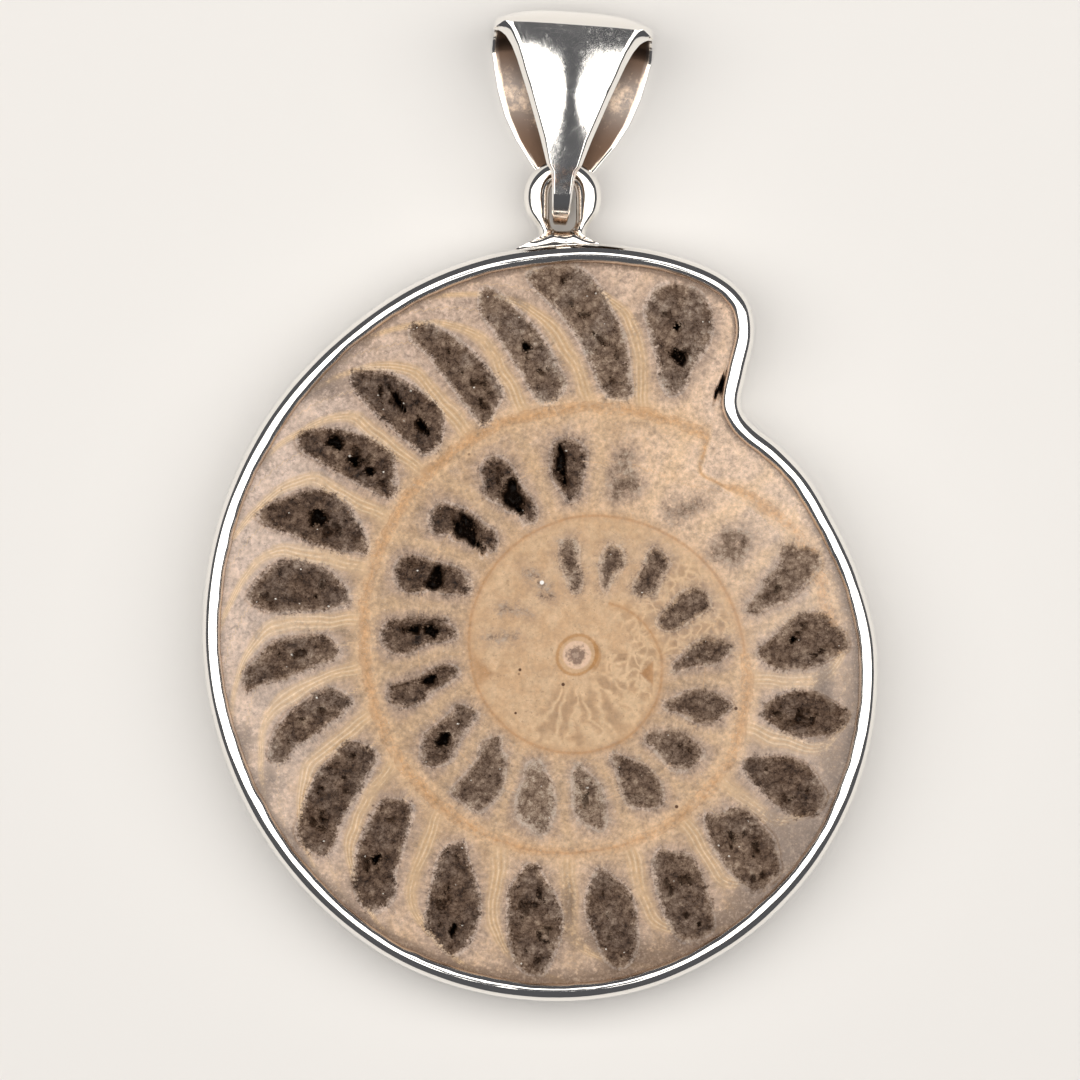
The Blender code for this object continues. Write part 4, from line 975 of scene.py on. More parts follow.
        jag = speckle.swing(0.5)
        aside = (up + self.notch_drop).size()
        notch = (across - self.notch_out - 1.05 * aside + jag).between(-0.12, 0.22) * across.between(5.15, 4.95)
        blotch = (0.0 - across - self.blotch_out - 1.0 * aside + jag * 1.6).between(-0.35, 0.6) * inside
        shader.lay(notch * 0.95 + blotch * 0.85, self.orange)
        oval = self.first_radius + 0.07 * (bearing * 2.0 + 1.57).wave()
        rim = (radius - oval + jag * 0.35).size()
        crescent = (radius - 1.4).size().between(0.26, 0.14) * (bearing - 0.1).size().between(0.85, 0.45)
        shader.lay(radius.between(1.38, 1.2), self.first_chamber)
        shader.lay(rim.between(0.18, 0.04) * (0.55 + 0.4 * speckle) + crescent * 0.6, self.first_rim)
        shader.lay((radius + jag * 0.3).between(1.02, 0.86), self.pearl)
        ragged = radius + shader.noise(3.6, 2.0).swing(1.0)
        shader.lay(ragged.between(0.74, 0.42) * 0.95, self.core)
        shader.lay(ragged.between(0.26, 0.1) * 0.7, self.core_pale)

    def lay_lines(self, shader: Shader) -> None:
        """Lays the growth lines in the partitions and the coiled wall's golden band.

        Args:
            shader: the material.
        """
        waver, rough = shader.noise(0.3, 1.0), shader.noise(2.6, 4.0, 0.65)
        septum = shader.read("septum") + waver.swing(1.1) + rough.swing(0.1)
        wall, disc, strong = shader.read("wall"), shader.read("disc"), shader.read("lined")
        clear = wall.size().between(0.1, 0.6) * disc.between(1.02, 1.2)
        band = (septum.size() + rough.swing(0.7)).between(0.78, 0.12) * clear
        shader.lay(band * (0.35 + 0.45 * strong), self.septum)
        ripple = (septum * self.growth_lines + waver * 6.0).wave()
        kept = strong.between(0.12, 0.7) * (waver * 0.8 + rough * 1.2).between(0.78, 1.04) * band
        shader.lay(kept * ripple.between(0.2, 0.95) * 0.62, self.gold)
        shader.lay(kept * ripple.between(-0.4, -1.0) * (0.9 * rough + 0.15), self.thread)

        thin = disc.between(1.25, 1.05).most(shader.read("narrow"))
        wander = wall + (shader.noise(0.8, 4.0, 0.6) - 0.5) * (0.9 - 0.75 * thin)
        edge = wander.size() + rough.swing(0.3)
        shader.lay(edge.between(1.15, 0.45) * (0.6 - 0.35 * thin), self.band)
        glow = edge.between(0.52, 0.1) * (rough + waver * 0.6 - 0.12).between(0.38, 0.78)
        shader.lay(glow * (0.85 - 0.45 * thin), self.wall)
        fine = (wander * self.wall_lines).wave().between(0.3, 1.0) * wander.size().between(0.65, 0.3) * (1.0 - thin)
        line = (wander.size() + rough.swing(0.12)).between(0.16, 0.02) * thin
        shader.lay(fine * 0.42 * rough.between(0.4, 0.6) + line * (0.15 + 0.7 * rough), self.wall_line)

    def filling(self, shader: Shader, tone: Signal) -> Signal:
        """The dark crystal that fills a chamber: cloudy, with small grains of uneven brightness.

        Args:
            shader: the material.
            tone: how light the filling is, from 0 to 1.

        Returns:
            Its colour.
        """
        cloud, granule = shader.noise(0.95, 4.0, 0.6), shader.noise(3.4, 4.0, 0.75)
        fine, cool = shader.noise(10.0, 2.0, 0.6), shader.noise(0.45, 2.0).between(0.42, 0.62)
        bent = shader.bent(granule * 0.35)
        facet = shader.cells(1.9, at=bent) - 0.42
        seam = shader.cells(1.9, "DISTANCE_TO_EDGE", bent).between(0.1, 0.0)
        value = tone + 0.045 + cloud.swing(1.1) + granule.swing(0.9) + fine.swing(0.4) - facet * 0.22 - seam * 0.1
        cool = cool * (0.15 + 0.45 * shader.read("lined"))
        return shader.mix(cool, shader.ramp(value, self.crystal), self.cool, "MULTIPLY")

    def edge(self, shader: Shader) -> Signal:
        """How far a place is inside the nearest chamber, with the chamber's edge roughened to a fringe of crystals.

        Args:
            shader: the material.

        Returns:
            The distance in millimetres, below 0 outside.
        """
        teeth = shader.noise(3.4, 2.0, 0.6, shader.read("foot", "Vector"))
        rough = teeth.swing(0.55) + shader.noise(2.4, 3.0, 0.6).swing(0.85) + shader.noise(6.5, 3.0, 0.75).swing(1.35)
        return shader.read("chamber") + rough

    def build(self) -> bpy.types.Material:
        """Makes the stone's material.

        Returns:
            The material.
        """
        shader = Shader("polished_ammonite")
        edge, fill, stain_and_rim_shade = self.edge(shader), shader.read("fill"), shader.read("stain_and_rim_shade")
        patchy, grit = shader.noise(2.2, 4.0, 0.65), shader.noise(5.5, 3.0, 0.65)
        self.lay_stone(shader)
        self.lay_inner_disc(shader)
        ringed = shader.read("disc").between(0.8, 1.0) * 0.55 + 0.45
        halo = edge.between(-1.15, 0.0) * (0.55 + 0.7 * patchy) * (fill * 1.4 - 0.2).between(0.0, 1.0) * ringed
        shader.lay(halo * 0.95, self.rind)
        self.lay_lines(shader)
        self.lay_grain(shader, halo)
        # Brown stains, and painted shade along the rim under the bezel's lip, laid in the dark crystal's colours.
        stained_and_shaded = (stain_and_rim_shade * 1.15 + patchy.swing(1.7) + grit.swing(1.5)).between(0.15, 1.0) * stain_and_rim_shade.between(0.0, 0.2)
        shader.lay(stained_and_shaded * 0.85, shader.ramp(0.56 + grit.swing(0.9) + patchy.swing(1.0), self.crystal))

        ghost = edge.between(-0.55, 0.35) * fill.between(0.3, 0.5) * fill.between(0.8, 0.66)
        shader.lay(ghost * patchy.between(0.3, 0.62) * 0.75, self.ghost)
        solid = (patchy * 1.6 + fill * 1.15).between(1.12, 1.62)
        sharp = 0.62 + 0.38 * shader.read("lined").between(0.15, 0.5)
        inside = (edge * sharp).between(-0.26, 0.2) * solid
        shader.lay(inside, self.filling(shader, shader.read("tone") + 0.2 * edge.between(0.5, -0.1)))
        # Painted shade: the small hollows between the crystals are laid near black.
        shader.lay(shader.read("cavity") * inside * 0.6, self.painted_hollow_shade)
        for spot in self.specks:
            shader.lay(self.near(shader, *spot), self.speck)
        shader.lay(shader.cells(0.42).between(0.05, 0.028) * 0.6, self.dot)
        # Painted glints: three small bright spots on the face.
        for spot in self.painted_glint_spots:
            shader.lay(self.near(shader, *spot), self.painted_glint_spot_colour)
        # The open pits: dark brown walls, partly painted shade, and a near-black floor that is painted shade.
        pit = shader.read("pit") + patchy.swing(0.5)
        shader.lay(pit.between(0.1, 0.55) * 0.85, self.pit_side)
        shader.lay(pit.between(0.4, 0.85), self.pit)
        shader.set(
            base_color=shader.colour, roughness=0.5, metallic=0.0, specular_ior_level=0.12, coat_roughness=0.08,
            coat_weight=(1.0 - inside) * (1.0 - pit.between(0.2, 0.5)),
        )
        shader.bump((1.0 - shader.cells(5.2)) * inside + patchy * 0.03, 0.4, 0.06)
        return shader.material

    def build_crystals(self) -> bpy.types.Material:
        """Makes the material of the crystals that stand in the chambers.

        Returns:
            The material.
        """
        shader = Shader("chamber_crystals")
        shader.colour = self.filling(shader, shader.read("tone"))
        # A few crystals are made pale: painted glints.
        shader.lay(shader.read("painted_glint"), self.painted_glint_colour)
        shader.set(base_color=shader.colour, roughness=0.35, metallic=0.0, specular_ior_level=0.08)
        return shader.material


@dataclass(frozen=True)
class SliceBuilder:
    """The polished slice: a slab cut through the shell, with its chambers a little sunk and its pits open."""

    shell: Shell
    face: float = 4.3
    base: float = 0.62
    cells: int = 256
    edge_rings: Table = ((0.95, 4.27), (0.9, 4.18), (0.9, 2.5), (0.9, 0.8))
    # How deep the chambers, their hollows and the pits lie, and how much of that shows behind.
    sink: float = 0.16
    hollow_depth: float = 0.45
    pit_depth: float = 1.3
    back_share: float = 0.3
    # How far inside the setting's outer edge the stone ends behind, and the lip ends in front.
    back_reach: float = 1.0
    lip_reach: float = 1.27
    sharp_angle: float = 55.0
    # Brown blots in the pale stone: each one's place across and up, its size both ways and its strength.
    blots: Table = (
        (1.95, -26.4, 0.55, 1.7, 0.85), (3.6, -28.6, 2.2, 0.9, 0.55), (10.2, -28.0, 1.5, 1.1, 0.95),
        (-14.6, 7.6, 1.7, 0.8, 0.75), (-17.8, 2.6, 0.7, 1.2, 0.4), (-19.3, -15.3, 0.6, 1.2, 0.75),
        (-17.8, -18.2, 0.8, 1.2, 0.8), (-18.8, -8.3, 0.6, 0.9, 0.45), (-16.0, -21.5, 1.2, 1.2, 0.45),
        (-2.2, 13.7, 2.2, 0.6, 0.55), (12.2, -8.3, 1.2, 1.6, 0.35), (-12.4, -24.6, 1.1, 1.0, 0.5),
        (18.4, -14.2, 0.8, 2.6, 0.55), (15.6, -21.0, 1.3, 1.9, 0.7), (-0.6, -29.5, 1.8, 1.0, 0.9),
        (5.6, -29.3, 1.6, 1.2, 0.9), (18.9, -10.6, 0.7, 4.0, 0.5), (13.6, -24.6, 1.3, 1.3, 0.5),
        (-13.4, 8.6, 1.2, 1.2, 0.45), (-11.4, 10.5, 1.3, 1.1, 0.4), (18.75, -12.6, 0.7, 1.6, 0.5),
        (6.6, 12.3, 0.6, 1.1, 0.55), (-15.8, -7.9, 1.0, 0.5, 0.35),
    )

    @staticmethod
    def disc(count: int) -> tuple[Array, Array]:
        """A square grid drawn out to a disc, so that its cells stay even and it has no pole.

        On each quarter of the square the larger coordinate becomes the radius, and the ratio of the smaller to
        the larger becomes the angle within that quarter.

        Args:
            count: the cells on a side.

        Returns:
            The radius from 0 to 1 and the angle in degrees, row by row.
        """
        side = np.linspace(-1.0, 1.0, count + 1)
        a, b = np.meshgrid(side, side, indexing="ij")
        flat = np.abs(a) >= np.abs(b)
        radius = np.where(flat, a, b)
        safe = np.where(radius == 0, 1.0, radius)
        turn = np.where(flat, 45.0 * b / safe, 90.0 - 45.0 * a / safe)
        return np.abs(radius).ravel(), np.where(radius < 0, turn + 180.0, turn).ravel() % 360.0

    @staticmethod
    def border(count: int) -> Array:
        """The numbers of the grid's border points, once round."""
        grid = np.arange((count + 1) ** 2).reshape(count + 1, count + 1)
        return np.concatenate((grid[0, :-1], grid[:-1, -1], grid[-1, :0:-1], grid[:0:-1, 0]))

    def relief(self, points: Array, values: dict[str, Array]) -> Array:
        """How far the surface lies below the polished face: a little in a chamber, more in its hollows and pits.

        Args:
            points: the points, one to a row.
            values: what the mesh carries there.

        Returns:
            The depth.
        """
        inside = smooth_step(0.0, 0.3, values["chamber"]) * smooth_step(0.7, 0.95, values["fill"])
        rough = 0.6 + 0.8 * lattice_noise(points, 0.45, 3)
        pit = values["pit"] * (0.8 + 0.4 * lattice_noise(points, 0.35, 5))
        return inside * rough * self.sink + np.maximum(self.hollow_depth * values["cavity"], pit * self.pit_depth)

    def tints(self, points: Array, septum: Array) -> dict[str, Array]:
        """Where the stone is pink, in painted shade, pale or finely lined, and where it is stained and in painted shade
        along the rim, each a sum of bell curves round a bearing.

        Args:
            points: the points, one to a row.
            septum: their distances from the nearest partition.

        Returns:
            Each tint's strength, from 0 to 1.
        """
        bearing, radius = self.shell.outline.polar(points)
        rim = self.shell.outline.radius(bearing, self.lip_reach)
        share, gap = radius / rim, rim - radius

        def around(middle: float, width: float) -> Array:
            """A bell curve round a bearing."""
            return bell(turned(bearing - middle), width)

        outer = smooth_step(-0.3, 0.5, radius - self.shell.wall_radius(bearing + 360.0))
        left, below = around(215.0, 68.0), around(92.0, 30.0)
        away = smooth_step(0.1, 0.9, np.abs(septum))
        blush = (0.25 + 0.75 * left) * smooth_step(0.7, 0.86, share) * (0.35 + 0.65 * away)
        # Painted shade, with some brown staining: darker towards the lower right, round the inner disc's right and on
        # the outer left.
        right = 0.25 + 0.75 * smooth_step(0.55, 0.85, share) + 0.55 * bell(radius - 7.0, 3.0)
        far_left_shade = around(178.0, 62.0) * smooth_step(6.0, 8.5, radius)
        far_left_shade = far_left_shade * (1 - 0.8 * smooth_step(0.8, 0.95, share))
        painted_side_shade = np.clip(around(30.0, 55.0) * right * smooth_step(3.0, 5.5, radius) + 0.75 * far_left_shade, 0, 1)
        upper = around(313.0, 26.0) * smooth_step(8.5, 11.0, radius)
        # Near the rim the stone is stained and also given painted shade under the bezel's lip, most on the lower right
        # and within half a millimetre of the rim all round. The blots below are brown stains.
        rim_grime_and_shade = 0.95 * around(40.0, 58.0) + 0.55 * around(120.0, 40.0) + 0.6 * around(268.0, 36.0)
        reach = 0.7 + 1.9 * around(45.0, 60.0)
        stain_and_rim_shade = rim_grime_and_shade * smooth_step(reach, 0.0, gap) + 0.35 * smooth_step(0.5, 0.0, gap)
        for across, up, wide, tall, strength in self.blots:
            stain_and_rim_shade += strength * np.exp(-(((points[:, 0] - across) / wide) ** 2) - ((points[:, 1] - up) / tall) ** 2)
        return {
            "blush": np.clip(blush, 0, 1),
            "painted_side_shade": painted_side_shade,
            "narrow": 0.75 * below,
            "cream": np.clip(0.25 + upper + 0.4 * below * outer - 0.25 * painted_side_shade, 0.0, 1.0),
            "lined": np.clip(outer * (0.55 + 0.45 * left) + 0.1, 0.0, 1.0),
            "stain_and_rim_shade": np.clip(stain_and_rim_shade, 0.0, 1.0),
        }

    def fields(self, points: Array) -> dict[str, Array]:
        """Everything that the stone's material reads from the mesh, at points as seen from above.

        Args:
            points: the points, one to a row.

        Returns:
            The values by name.
        """
        values = self.shell.chamber_field(points)
        values["septum"] = self.shell.septum_field(points)
        values["wall"], values["disc"] = self.shell.wall_field(points)
        values["pit"] = self.shell.pit_field(points)
        values["cavity"] = self.shell.cavity_field(points, values["chamber"], values["tone"])
        return values | self.tints(points, values["septum"])

    def build(self, material: bpy.types.Material) -> bpy.types.Object:
        """Builds the slab: a fine grid in front, rings down its edge and a grid of half the fineness behind.

        Args:
            material: the stone.

        Returns:
            The slice.
        """
        outline = self.shell.outline
        radius, turn = self.disc(self.cells)
        front = outline.at(turn, radius * outline.radius(turn, self.shell.rim_reach))
        around = self.border(self.cells)
        rings = [outline.at(turn[around], outline.radius(turn[around], reach)) for reach, _ in self.edge_rings]
        half = self.cells // 2
        back_radius, back_turn = self.disc(half)
        back = outline.at(back_turn, back_radius * outline.radius(back_turn, self.back_reach))
        flat = np.concatenate((front, *rings, back))
        values = self.fields(flat)
        relief = self.relief(flat, values)
        count_front, count_ring = len(front), len(around)
        heights = np.concatenate((
            self.face - relief[:count_front],
            *[np.full(count_ring, height) for _, height in self.edge_rings],
            self.base + self.back_share * relief[-len(back):],
        ))
        heights[around] = self.face
        back_first = count_front + count_ring * len(self.edge_rings)
        back_around = self.border(half) + back_first
        heights[back_around] = self.base

        ring_start = count_front + count_ring * np.arange(len(self.edge_rings))
        loops = [around] + [start + np.arange(count_ring) for start in ring_start]
        walls = [
            np.stack((lower, np.roll(lower, -1), np.roll(upper, -1), upper), axis=1)
            for upper, lower in zip(loops[:-1], loops[1:])
        ]
        low = loops[-1]
        even, odd, after = low[0::2], low[1::2], np.roll(low[0::2], -1)
        back_after = np.roll(back_around, -1)
        strip = np.concatenate((
            np.stack((back_around, odd, even), axis=1),
            np.stack((back_after, after, odd), axis=1),
            np.stack((back_around, back_after, odd), axis=1),
        ))
        top = grid_faces(self.cells + 1, self.cells + 1, False, False)
        bottom = grid_faces(half + 1, half + 1, False, False, back_first)[:, ::-1]
        return Piece(
            "ammonite_slice_polished", Body.PENDANT, Slot.FOSSIL, np.column_stack((flat, heights)),
            [top, bottom, np.concatenate(walls), strip], material, values, self.sharp_angle, ("ammonite_slice",),
        ).build()


@dataclass(frozen=True)
class CrystalBuilder:
    """The crystals that stand in the chambers: small closed pyramids, their tips just under the polished face."""

    slab: SliceBuilder
    spacing: float = 0.215
    half_width: tuple[float, float] = (0.075, 0.165)
    rise: tuple[float, float] = (0.1, 0.3)
    foot_depth: float = 0.07
    tip_limit: float = 4.27
    slant: float = 0.75
    corners: int = 4
    reach: float = 27.0
    clearance: float = 1.4
    density: float = 0.8
    # How far a crystal is shaken in its cell, how narrow it gets, how tones vary, and how many carry a painted glint.
    shake: float = 0.95
    narrowest: float = 0.65
    unevenness: float = 0.05
    painted_glint_share: float = 0.008
    seed: int = 417

    def build(self, material: bpy.types.Material) -> bpy.types.Object:
        """Sets a crystal at each point of a shaken grid that lies in a chamber or a pit.

        A crystal's foot is a turned polygon round its place, a little under the chamber's floor, and its tip stands
        over the place, moved sideways by a random slant.

        Args:
            material: the crystals' finish.

        Returns:
            The crystals.
        """
        random, outline = np.random.default_rng(self.seed), self.slab.shell.outline
        count = int(2 * self.reach / self.spacing)
        columns, rows = np.meshgrid(np.arange(count), np.arange(count), indexing="ij")
        shaken = random.random((2, count * count)) * self.shake
        middle = np.array(outline.middle)
        places = middle - self.reach + (np.stack((columns.ravel(), rows.ravel()), axis=1) + shaken.T) * self.spacing
        places = places[np.hypot(*(places - middle).T) < self.reach]
        values = self.slab.fields(places)
        chance = smooth_step(0.06, 0.26, values["chamber"]) * smooth_step(0.62, 0.95, values["fill"])
        chance = np.maximum(chance, values["pit"] > 0.1)
        bearing, radius = outline.polar(places)
        chance *= radius < outline.radius(bearing, self.clearance)
        kept = random.random(len(places)) < self.density * chance
        places = places[kept]
        values = {name: value[kept] for name, value in values.items()}
        floor = self.slab.face - self.slab.relief(places, values)

        number, (x, y) = len(places), places.T
        size = random.uniform(*self.half_width, number)
        tall = random.uniform(*self.rise, number)
        turn = random.uniform(0, 2 * np.pi, number)
        angle = turn[:, None] + 2 * np.pi * np.arange(self.corners) / self.corners
        stretch = random.uniform(self.narrowest, 1.0, number)[:, None]
        foot = np.stack((
            x[:, None] + size[:, None] * np.cos(angle),
            y[:, None] + size[:, None] * np.sin(angle) * stretch,
            np.repeat((floor - self.foot_depth)[:, None], self.corners, axis=1),
        ), axis=2)
        slant = (random.random((2, number)) - 0.5) * 2 * self.slant * size
        top = np.minimum(floor + tall, self.tip_limit)
        tip = np.column_stack((x + slant[0], y + slant[1], top))
        points = np.concatenate((foot, tip[:, None, :]), axis=1).reshape(-1, 3)
        copies = self.corners + 1
        first, corner = np.arange(number)[:, None] * copies, np.arange(self.corners)
        sides = (first + corner, first + (corner + 1) % self.corners, first + self.corners + 0 * corner)

        # Crystals deep in a pit or hollow are made darker: painted shade.
        depth = np.maximum(values["pit"], 0.7 * values["cavity"])
        tone = values["tone"] + random.normal(0.0, self.unevenness, number) - 0.36 * depth + 0.02
        # Painted glints: a few crystals, not deep in a pit or hollow, are made pale.
        painted_glint = (random.random(number) > 1 - self.painted_glint_share) * random.uniform(0.5, 1.0, number) * (depth < 0.5)
        return Piece(
            "chamber_crystals", Body.PENDANT, Slot.FOSSIL, points,
            [np.stack(sides, axis=2).reshape(-1, 3), first + corner[::-1]], material,
            {"tone": np.repeat(tone, copies), "painted_glint": np.repeat(painted_glint, copies)}, None,
        ).build()


# ---------------------------------------------------------------- silver


@dataclass(frozen=True)
class Silver:
    """Polished silver with fine wear, and a brown tarnish where a mesh's "tarnish" says so."""

    name: str
    bright: Colour = (0.93, 0.905, 0.865)
    dull: Colour = (0.09, 0.048, 0.027)
    warm: Colour = (0.58, 0.4, 0.26)
    flushed: Colour = (0.8, 0.64, 0.55)
    polish: float = 0.07

    def build(self) -> bpy.types.Material:
        """Makes the metal's material.

        Returns:
            The material.
        """
        shader = Shader(self.name)
        blotch, cloud, grain = shader.noise(0.62, 4.0, 0.62), shader.noise(2.6, 4.0, 0.7), shader.noise(9.0, 3.0, 0.7)
        tarnish = shader.read("tarnish")
        light = blotch + cloud.swing(0.9) - (tarnish - 0.84) * 2.8
        patina = shader.mix(light.between(0.3, 0.8), self.dull, self.warm)
        shader.colour = shader.mix(tarnish * (cloud * 0.5 + 0.85).least(1.0), self.bright, patina)
        shader.lay(shader.read("solder") * (cloud + blotch - 0.45).between(0.35, 0.65), self.flushed)
        worn = 0.035 * cloud.between(0.52, 0.66)
        shader.set(
            base_color=shader.colour, metallic=1.0,
            roughness=self.polish + 0.26 * tarnish + worn + 0.02 * grain.between(0.45, 0.7),
        )
        drawn = shader.vector("MULTIPLY", shader.place, (1.4, 16.0, 1.4))
        height = grain * (0.05 + 0.5 * tarnish) + shader.noise(1.6, 2.0, 0.6, drawn) * 0.06
        shader.bump(height + cloud * (0.1 + 0.6 * tarnish) + blotch * 0.5, 0.25, 0.03)
        return shader.material


@dataclass(frozen=True)
class BezelBuilder:
    """The setting: a wall round the slice, with its lip rubbed over the stone and a ledge under it."""

    outline: Outline
    stations: int = 1100
    section: Table = (
        (0.0, 0.3), (0.0, 1.2), (0.0, 2.6), (0.0, 3.8), (0.015, 4.1), (0.05, 4.34), (0.11, 4.53),
        (0.19, 4.68), (0.29, 4.79), (0.4, 4.88), (0.52, 4.95), (0.65, 4.99), (0.78, 5.0), (0.9, 4.97),
        (1.01, 4.91), (1.1, 4.82), (1.17, 4.7), (1.22, 4.55), (1.25, 4.42), (1.25, 4.33), (1.18, 4.3),
        (0.95, 4.31), (0.8, 4.25), (0.78, 3.9), (0.78, 0.75), (0.8, 0.62), (1.85, 0.6), (1.9, 0.55),
        (1.9, 0.06), (1.84, 0.0), (0.2, 0.0), (0.05, 0.1),
    )
    # The lip's slow waves, sideways and up: each one's height, how many there are in a turn and where it starts.
    wander: Table = ((0.026, 7, 0.6), (0.02, 13, 2.1), (0.014, 29, 0.0), (0.009, 61, 1.0), (0.006, 113, 0.3))
    sway: Table = ((0.018, 9, 1.4), (0.01, 23, 0.0), (0.006, 51, 0.7))
    # Small kinks in the lip: each one's bearing and how far it reaches inwards.
    kinks: Table = ((196.9, 0.07), (155.1, 0.06), (233.0, -0.04), (118.0, 0.04))
    kink_width: float = 1.3
    # Where the lip starts, wanders and sways, from not at all to fully, and the height that it never passes.
    lip_start: float = 4.2
    wander_reach: tuple[float, float] = (0.6, 1.2)
    sway_heights: tuple[float, float] = (4.4, 4.9)
    sway_end: float = 1.1
    highest: float = 5.02
    # Where the lip's edge darkens, and how much.
    dark_reach: tuple[float, float] = (1.12, 1.24)
    darkness: float = 0.75
    sharp_angle: float = 50.0

    def build(self, material: bpy.types.Material) -> bpy.types.Object:
        """Carries the wall's section round the outline, with the small unevenness of a lip rubbed over by hand.

        Each section point moves inwards by a sum of slow waves along the edge and by the kinks, more the nearer it
        is to the lip's inner edge.

        Args:
            material: the silver.

        Returns:
            The bezel.
        """
        edge, inward = self.outline.edge(self.stations)
        bearing, _ = self.outline.polar(edge)
        turn = np.radians(bearing)
        reach, height = np.array(self.section).T
        wander = waves(turn, self.wander)
        for at, size in self.kinks:
            wander += size * bell(turned(bearing - at), self.kink_width)
        is_lip = height > self.lip_start
        inset = reach + wander[:, None] * (smooth_step(*self.wander_reach, reach) * is_lip)
        place = edge[:, None, :] + inward[:, None, :] * inset[:, :, None]
        sway = waves(turn, self.sway)[:, None]
        z = height + sway * smooth_step(*self.sway_heights, height) * (reach < self.sway_end)
        points = np.concatenate((place, np.minimum(z, self.highest)[:, :, None]), axis=2).reshape(-1, 3)
        dark = smooth_step(*self.dark_reach, reach) * self.darkness * is_lip
        tarnish = np.tile(dark, (self.stations, 1)).ravel()
        faces = grid_faces(self.stations, len(self.section), True, True)
        return Piece(
            "bezel_rubbed_over", Body.PENDANT, Slot.SILVER, points, [faces], material,
            {"tarnish": tarnish, "solder": np.zeros(len(points))}, self.sharp_angle, ("bezel",),
        ).build()


@dataclass(frozen=True)
class LoopBuilder:
    """The hanging loop: a fat ring that narrows to a neck and spreads on to the bezel, where it is soldered."""

    centre: tuple[float, float, float] = (1.53, 20.39, 2.5)
    thickness: float = 2.1
    foot_thickness: float = 2.5
    hole_middle: float = -0.58
    hole_half_width: float = 0.89
    hole_half_length: float = 1.6
    squareness: float = 3.8
    # Half of the outer edge: the angle from straight down that each place answers to, and the place.
    half_edge: Table = (
        (0, 0.0, -3.66), (12, 1.3, -3.66), (20, 2.5, -3.62), (27, 3.3, -3.5), (33, 2.75, -3.26),
        (39, 2.12, -3.06), (44, 1.75, -2.84), (50, 1.59, -2.55), (56, 1.58, -2.25), (62, 1.71, -1.92),
        (70, 2.02, -1.48), (80, 2.37, -0.94), (94, 2.57, -0.1), (112, 2.46, 0.84), (132, 2.02, 1.64),
        (152, 1.25, 2.29), (170, 0.42, 2.57),
    )
    # Two low lumps of solder on the foot, each with its place across and up, its width and its height.
    lumps: Table = ((-0.55, -2.42, 0.5, 0.26), (0.72, -2.38, 0.44, 0.22))
    # How much narrower the hole's foot is, and how much thinner the tips of the loop's foot, and where they are.
    narrowing: float = 0.03
    tip_thinning: float = 0.25
    tip_angle: float = 27.0
    tip_spread: float = 7.0
    # How dark the hole's wall is, how flushed the foot is by soldering, and between which cosines of the angle.
    darkness: float = 0.35
    flush: float = 0.25
    flush_start: tuple[float, float] = (0.75, 0.95)
    sharp_angle: float = 60.0
    stations: int = 220
    around: int = 36
    steps: int = 24

    def outer(self, turn: Array) -> Array:
        """The outer edge, on a smooth curve through both halves of its table.

        Args:
            turn: the angles from straight down.

        Returns:
            The points.
        """
        right = np.array(self.half_edge)
        left = right[:0:-1] * np.array((-1.0, -1.0, 1.0)) + np.array((360.0, 0.0, 0.0))
        table = np.vstack((right, left))
        curve = smooth_curve(table[:, 1:], self.steps)
        ends = np.append(table[:, 0], 360.0)
        share = np.arange(self.steps) / self.steps
        angles = (ends[:-1, None] + np.diff(ends)[:, None] * share).ravel()
        wanted = np.degrees(turn)
        return np.stack([np.interp(wanted, angles, curve[:, axis], period=360.0) for axis in (0, 1)], axis=1)

    def hole(self, turn: Array) -> Array:
        """The hole's edge: a superellipse, a little narrower at its foot.

        Args:
            turn: the angles from straight down.

        Returns:
            The points.
        """
        power = 2 / self.squareness
        across = np.sign(np.sin(turn)) * np.abs(np.sin(turn)) ** power * self.hole_half_width
        up = -np.sign(np.cos(turn)) * np.abs(np.cos(turn)) ** power * self.hole_half_length
        narrow = 1 - self.narrowing * np.maximum(0.0, np.cos(turn))
        return np.stack((across * narrow, up + self.hole_middle), axis=1)

    def build(self, material: bpy.types.Material) -> bpy.types.Object:
        """Carries an oval section, reaching from the hole to the outer edge, once round the hole.

        Args:
            material: the silver.

        Returns:
            The loop.
        """
        turn = 2 * np.pi * np.arange(self.stations) / self.stations
        angle = 2 * np.pi * np.arange(self.around) / self.around
        outer, inner = self.outer(turn), self.hole(turn)
        foot = np.maximum(0.0, np.cos(turn)) ** 3
        half = (self.thickness + (self.foot_thickness - self.thickness) * foot) / 2
        middle, reach = (outer + inner) / 2, (outer - inner) / 2
        flat = middle[:, None, :] + reach[:, None, :] * np.cos(angle)[None, :, None]
        from_foot = np.degrees(np.minimum(turn, 2 * np.pi - turn))
        tip = 1 - self.tip_thinning * bell(from_foot - self.tip_angle, self.tip_spread)
        z = (half * tip)[:, None] * np.sin(angle)
        for across, up, width, height in self.lumps:
            z = z + height * bell(np.hypot(flat[:, :, 0] - across, flat[:, :, 1] - up), width) * (z > 0)
        points = np.concatenate((flat, z[:, :, None]), axis=2).reshape(-1, 3) + np.array(self.centre)
        tarnish = np.tile(self.darkness * (np.cos(angle) < -0.6), (self.stations, 1))
        solder = np.tile(smooth_step(*self.flush_start, np.cos(turn))[:, None], (1, self.around)) * self.flush
        return Piece(
            "hanging_loop_polished", Body.PENDANT, Slot.SILVER, points,
            [grid_faces(self.stations, self.around, True, True)], material,
            {"tarnish": tarnish.ravel(), "solder": solder.ravel()}, self.sharp_angle, ("hanging_loop",),
        ).build()


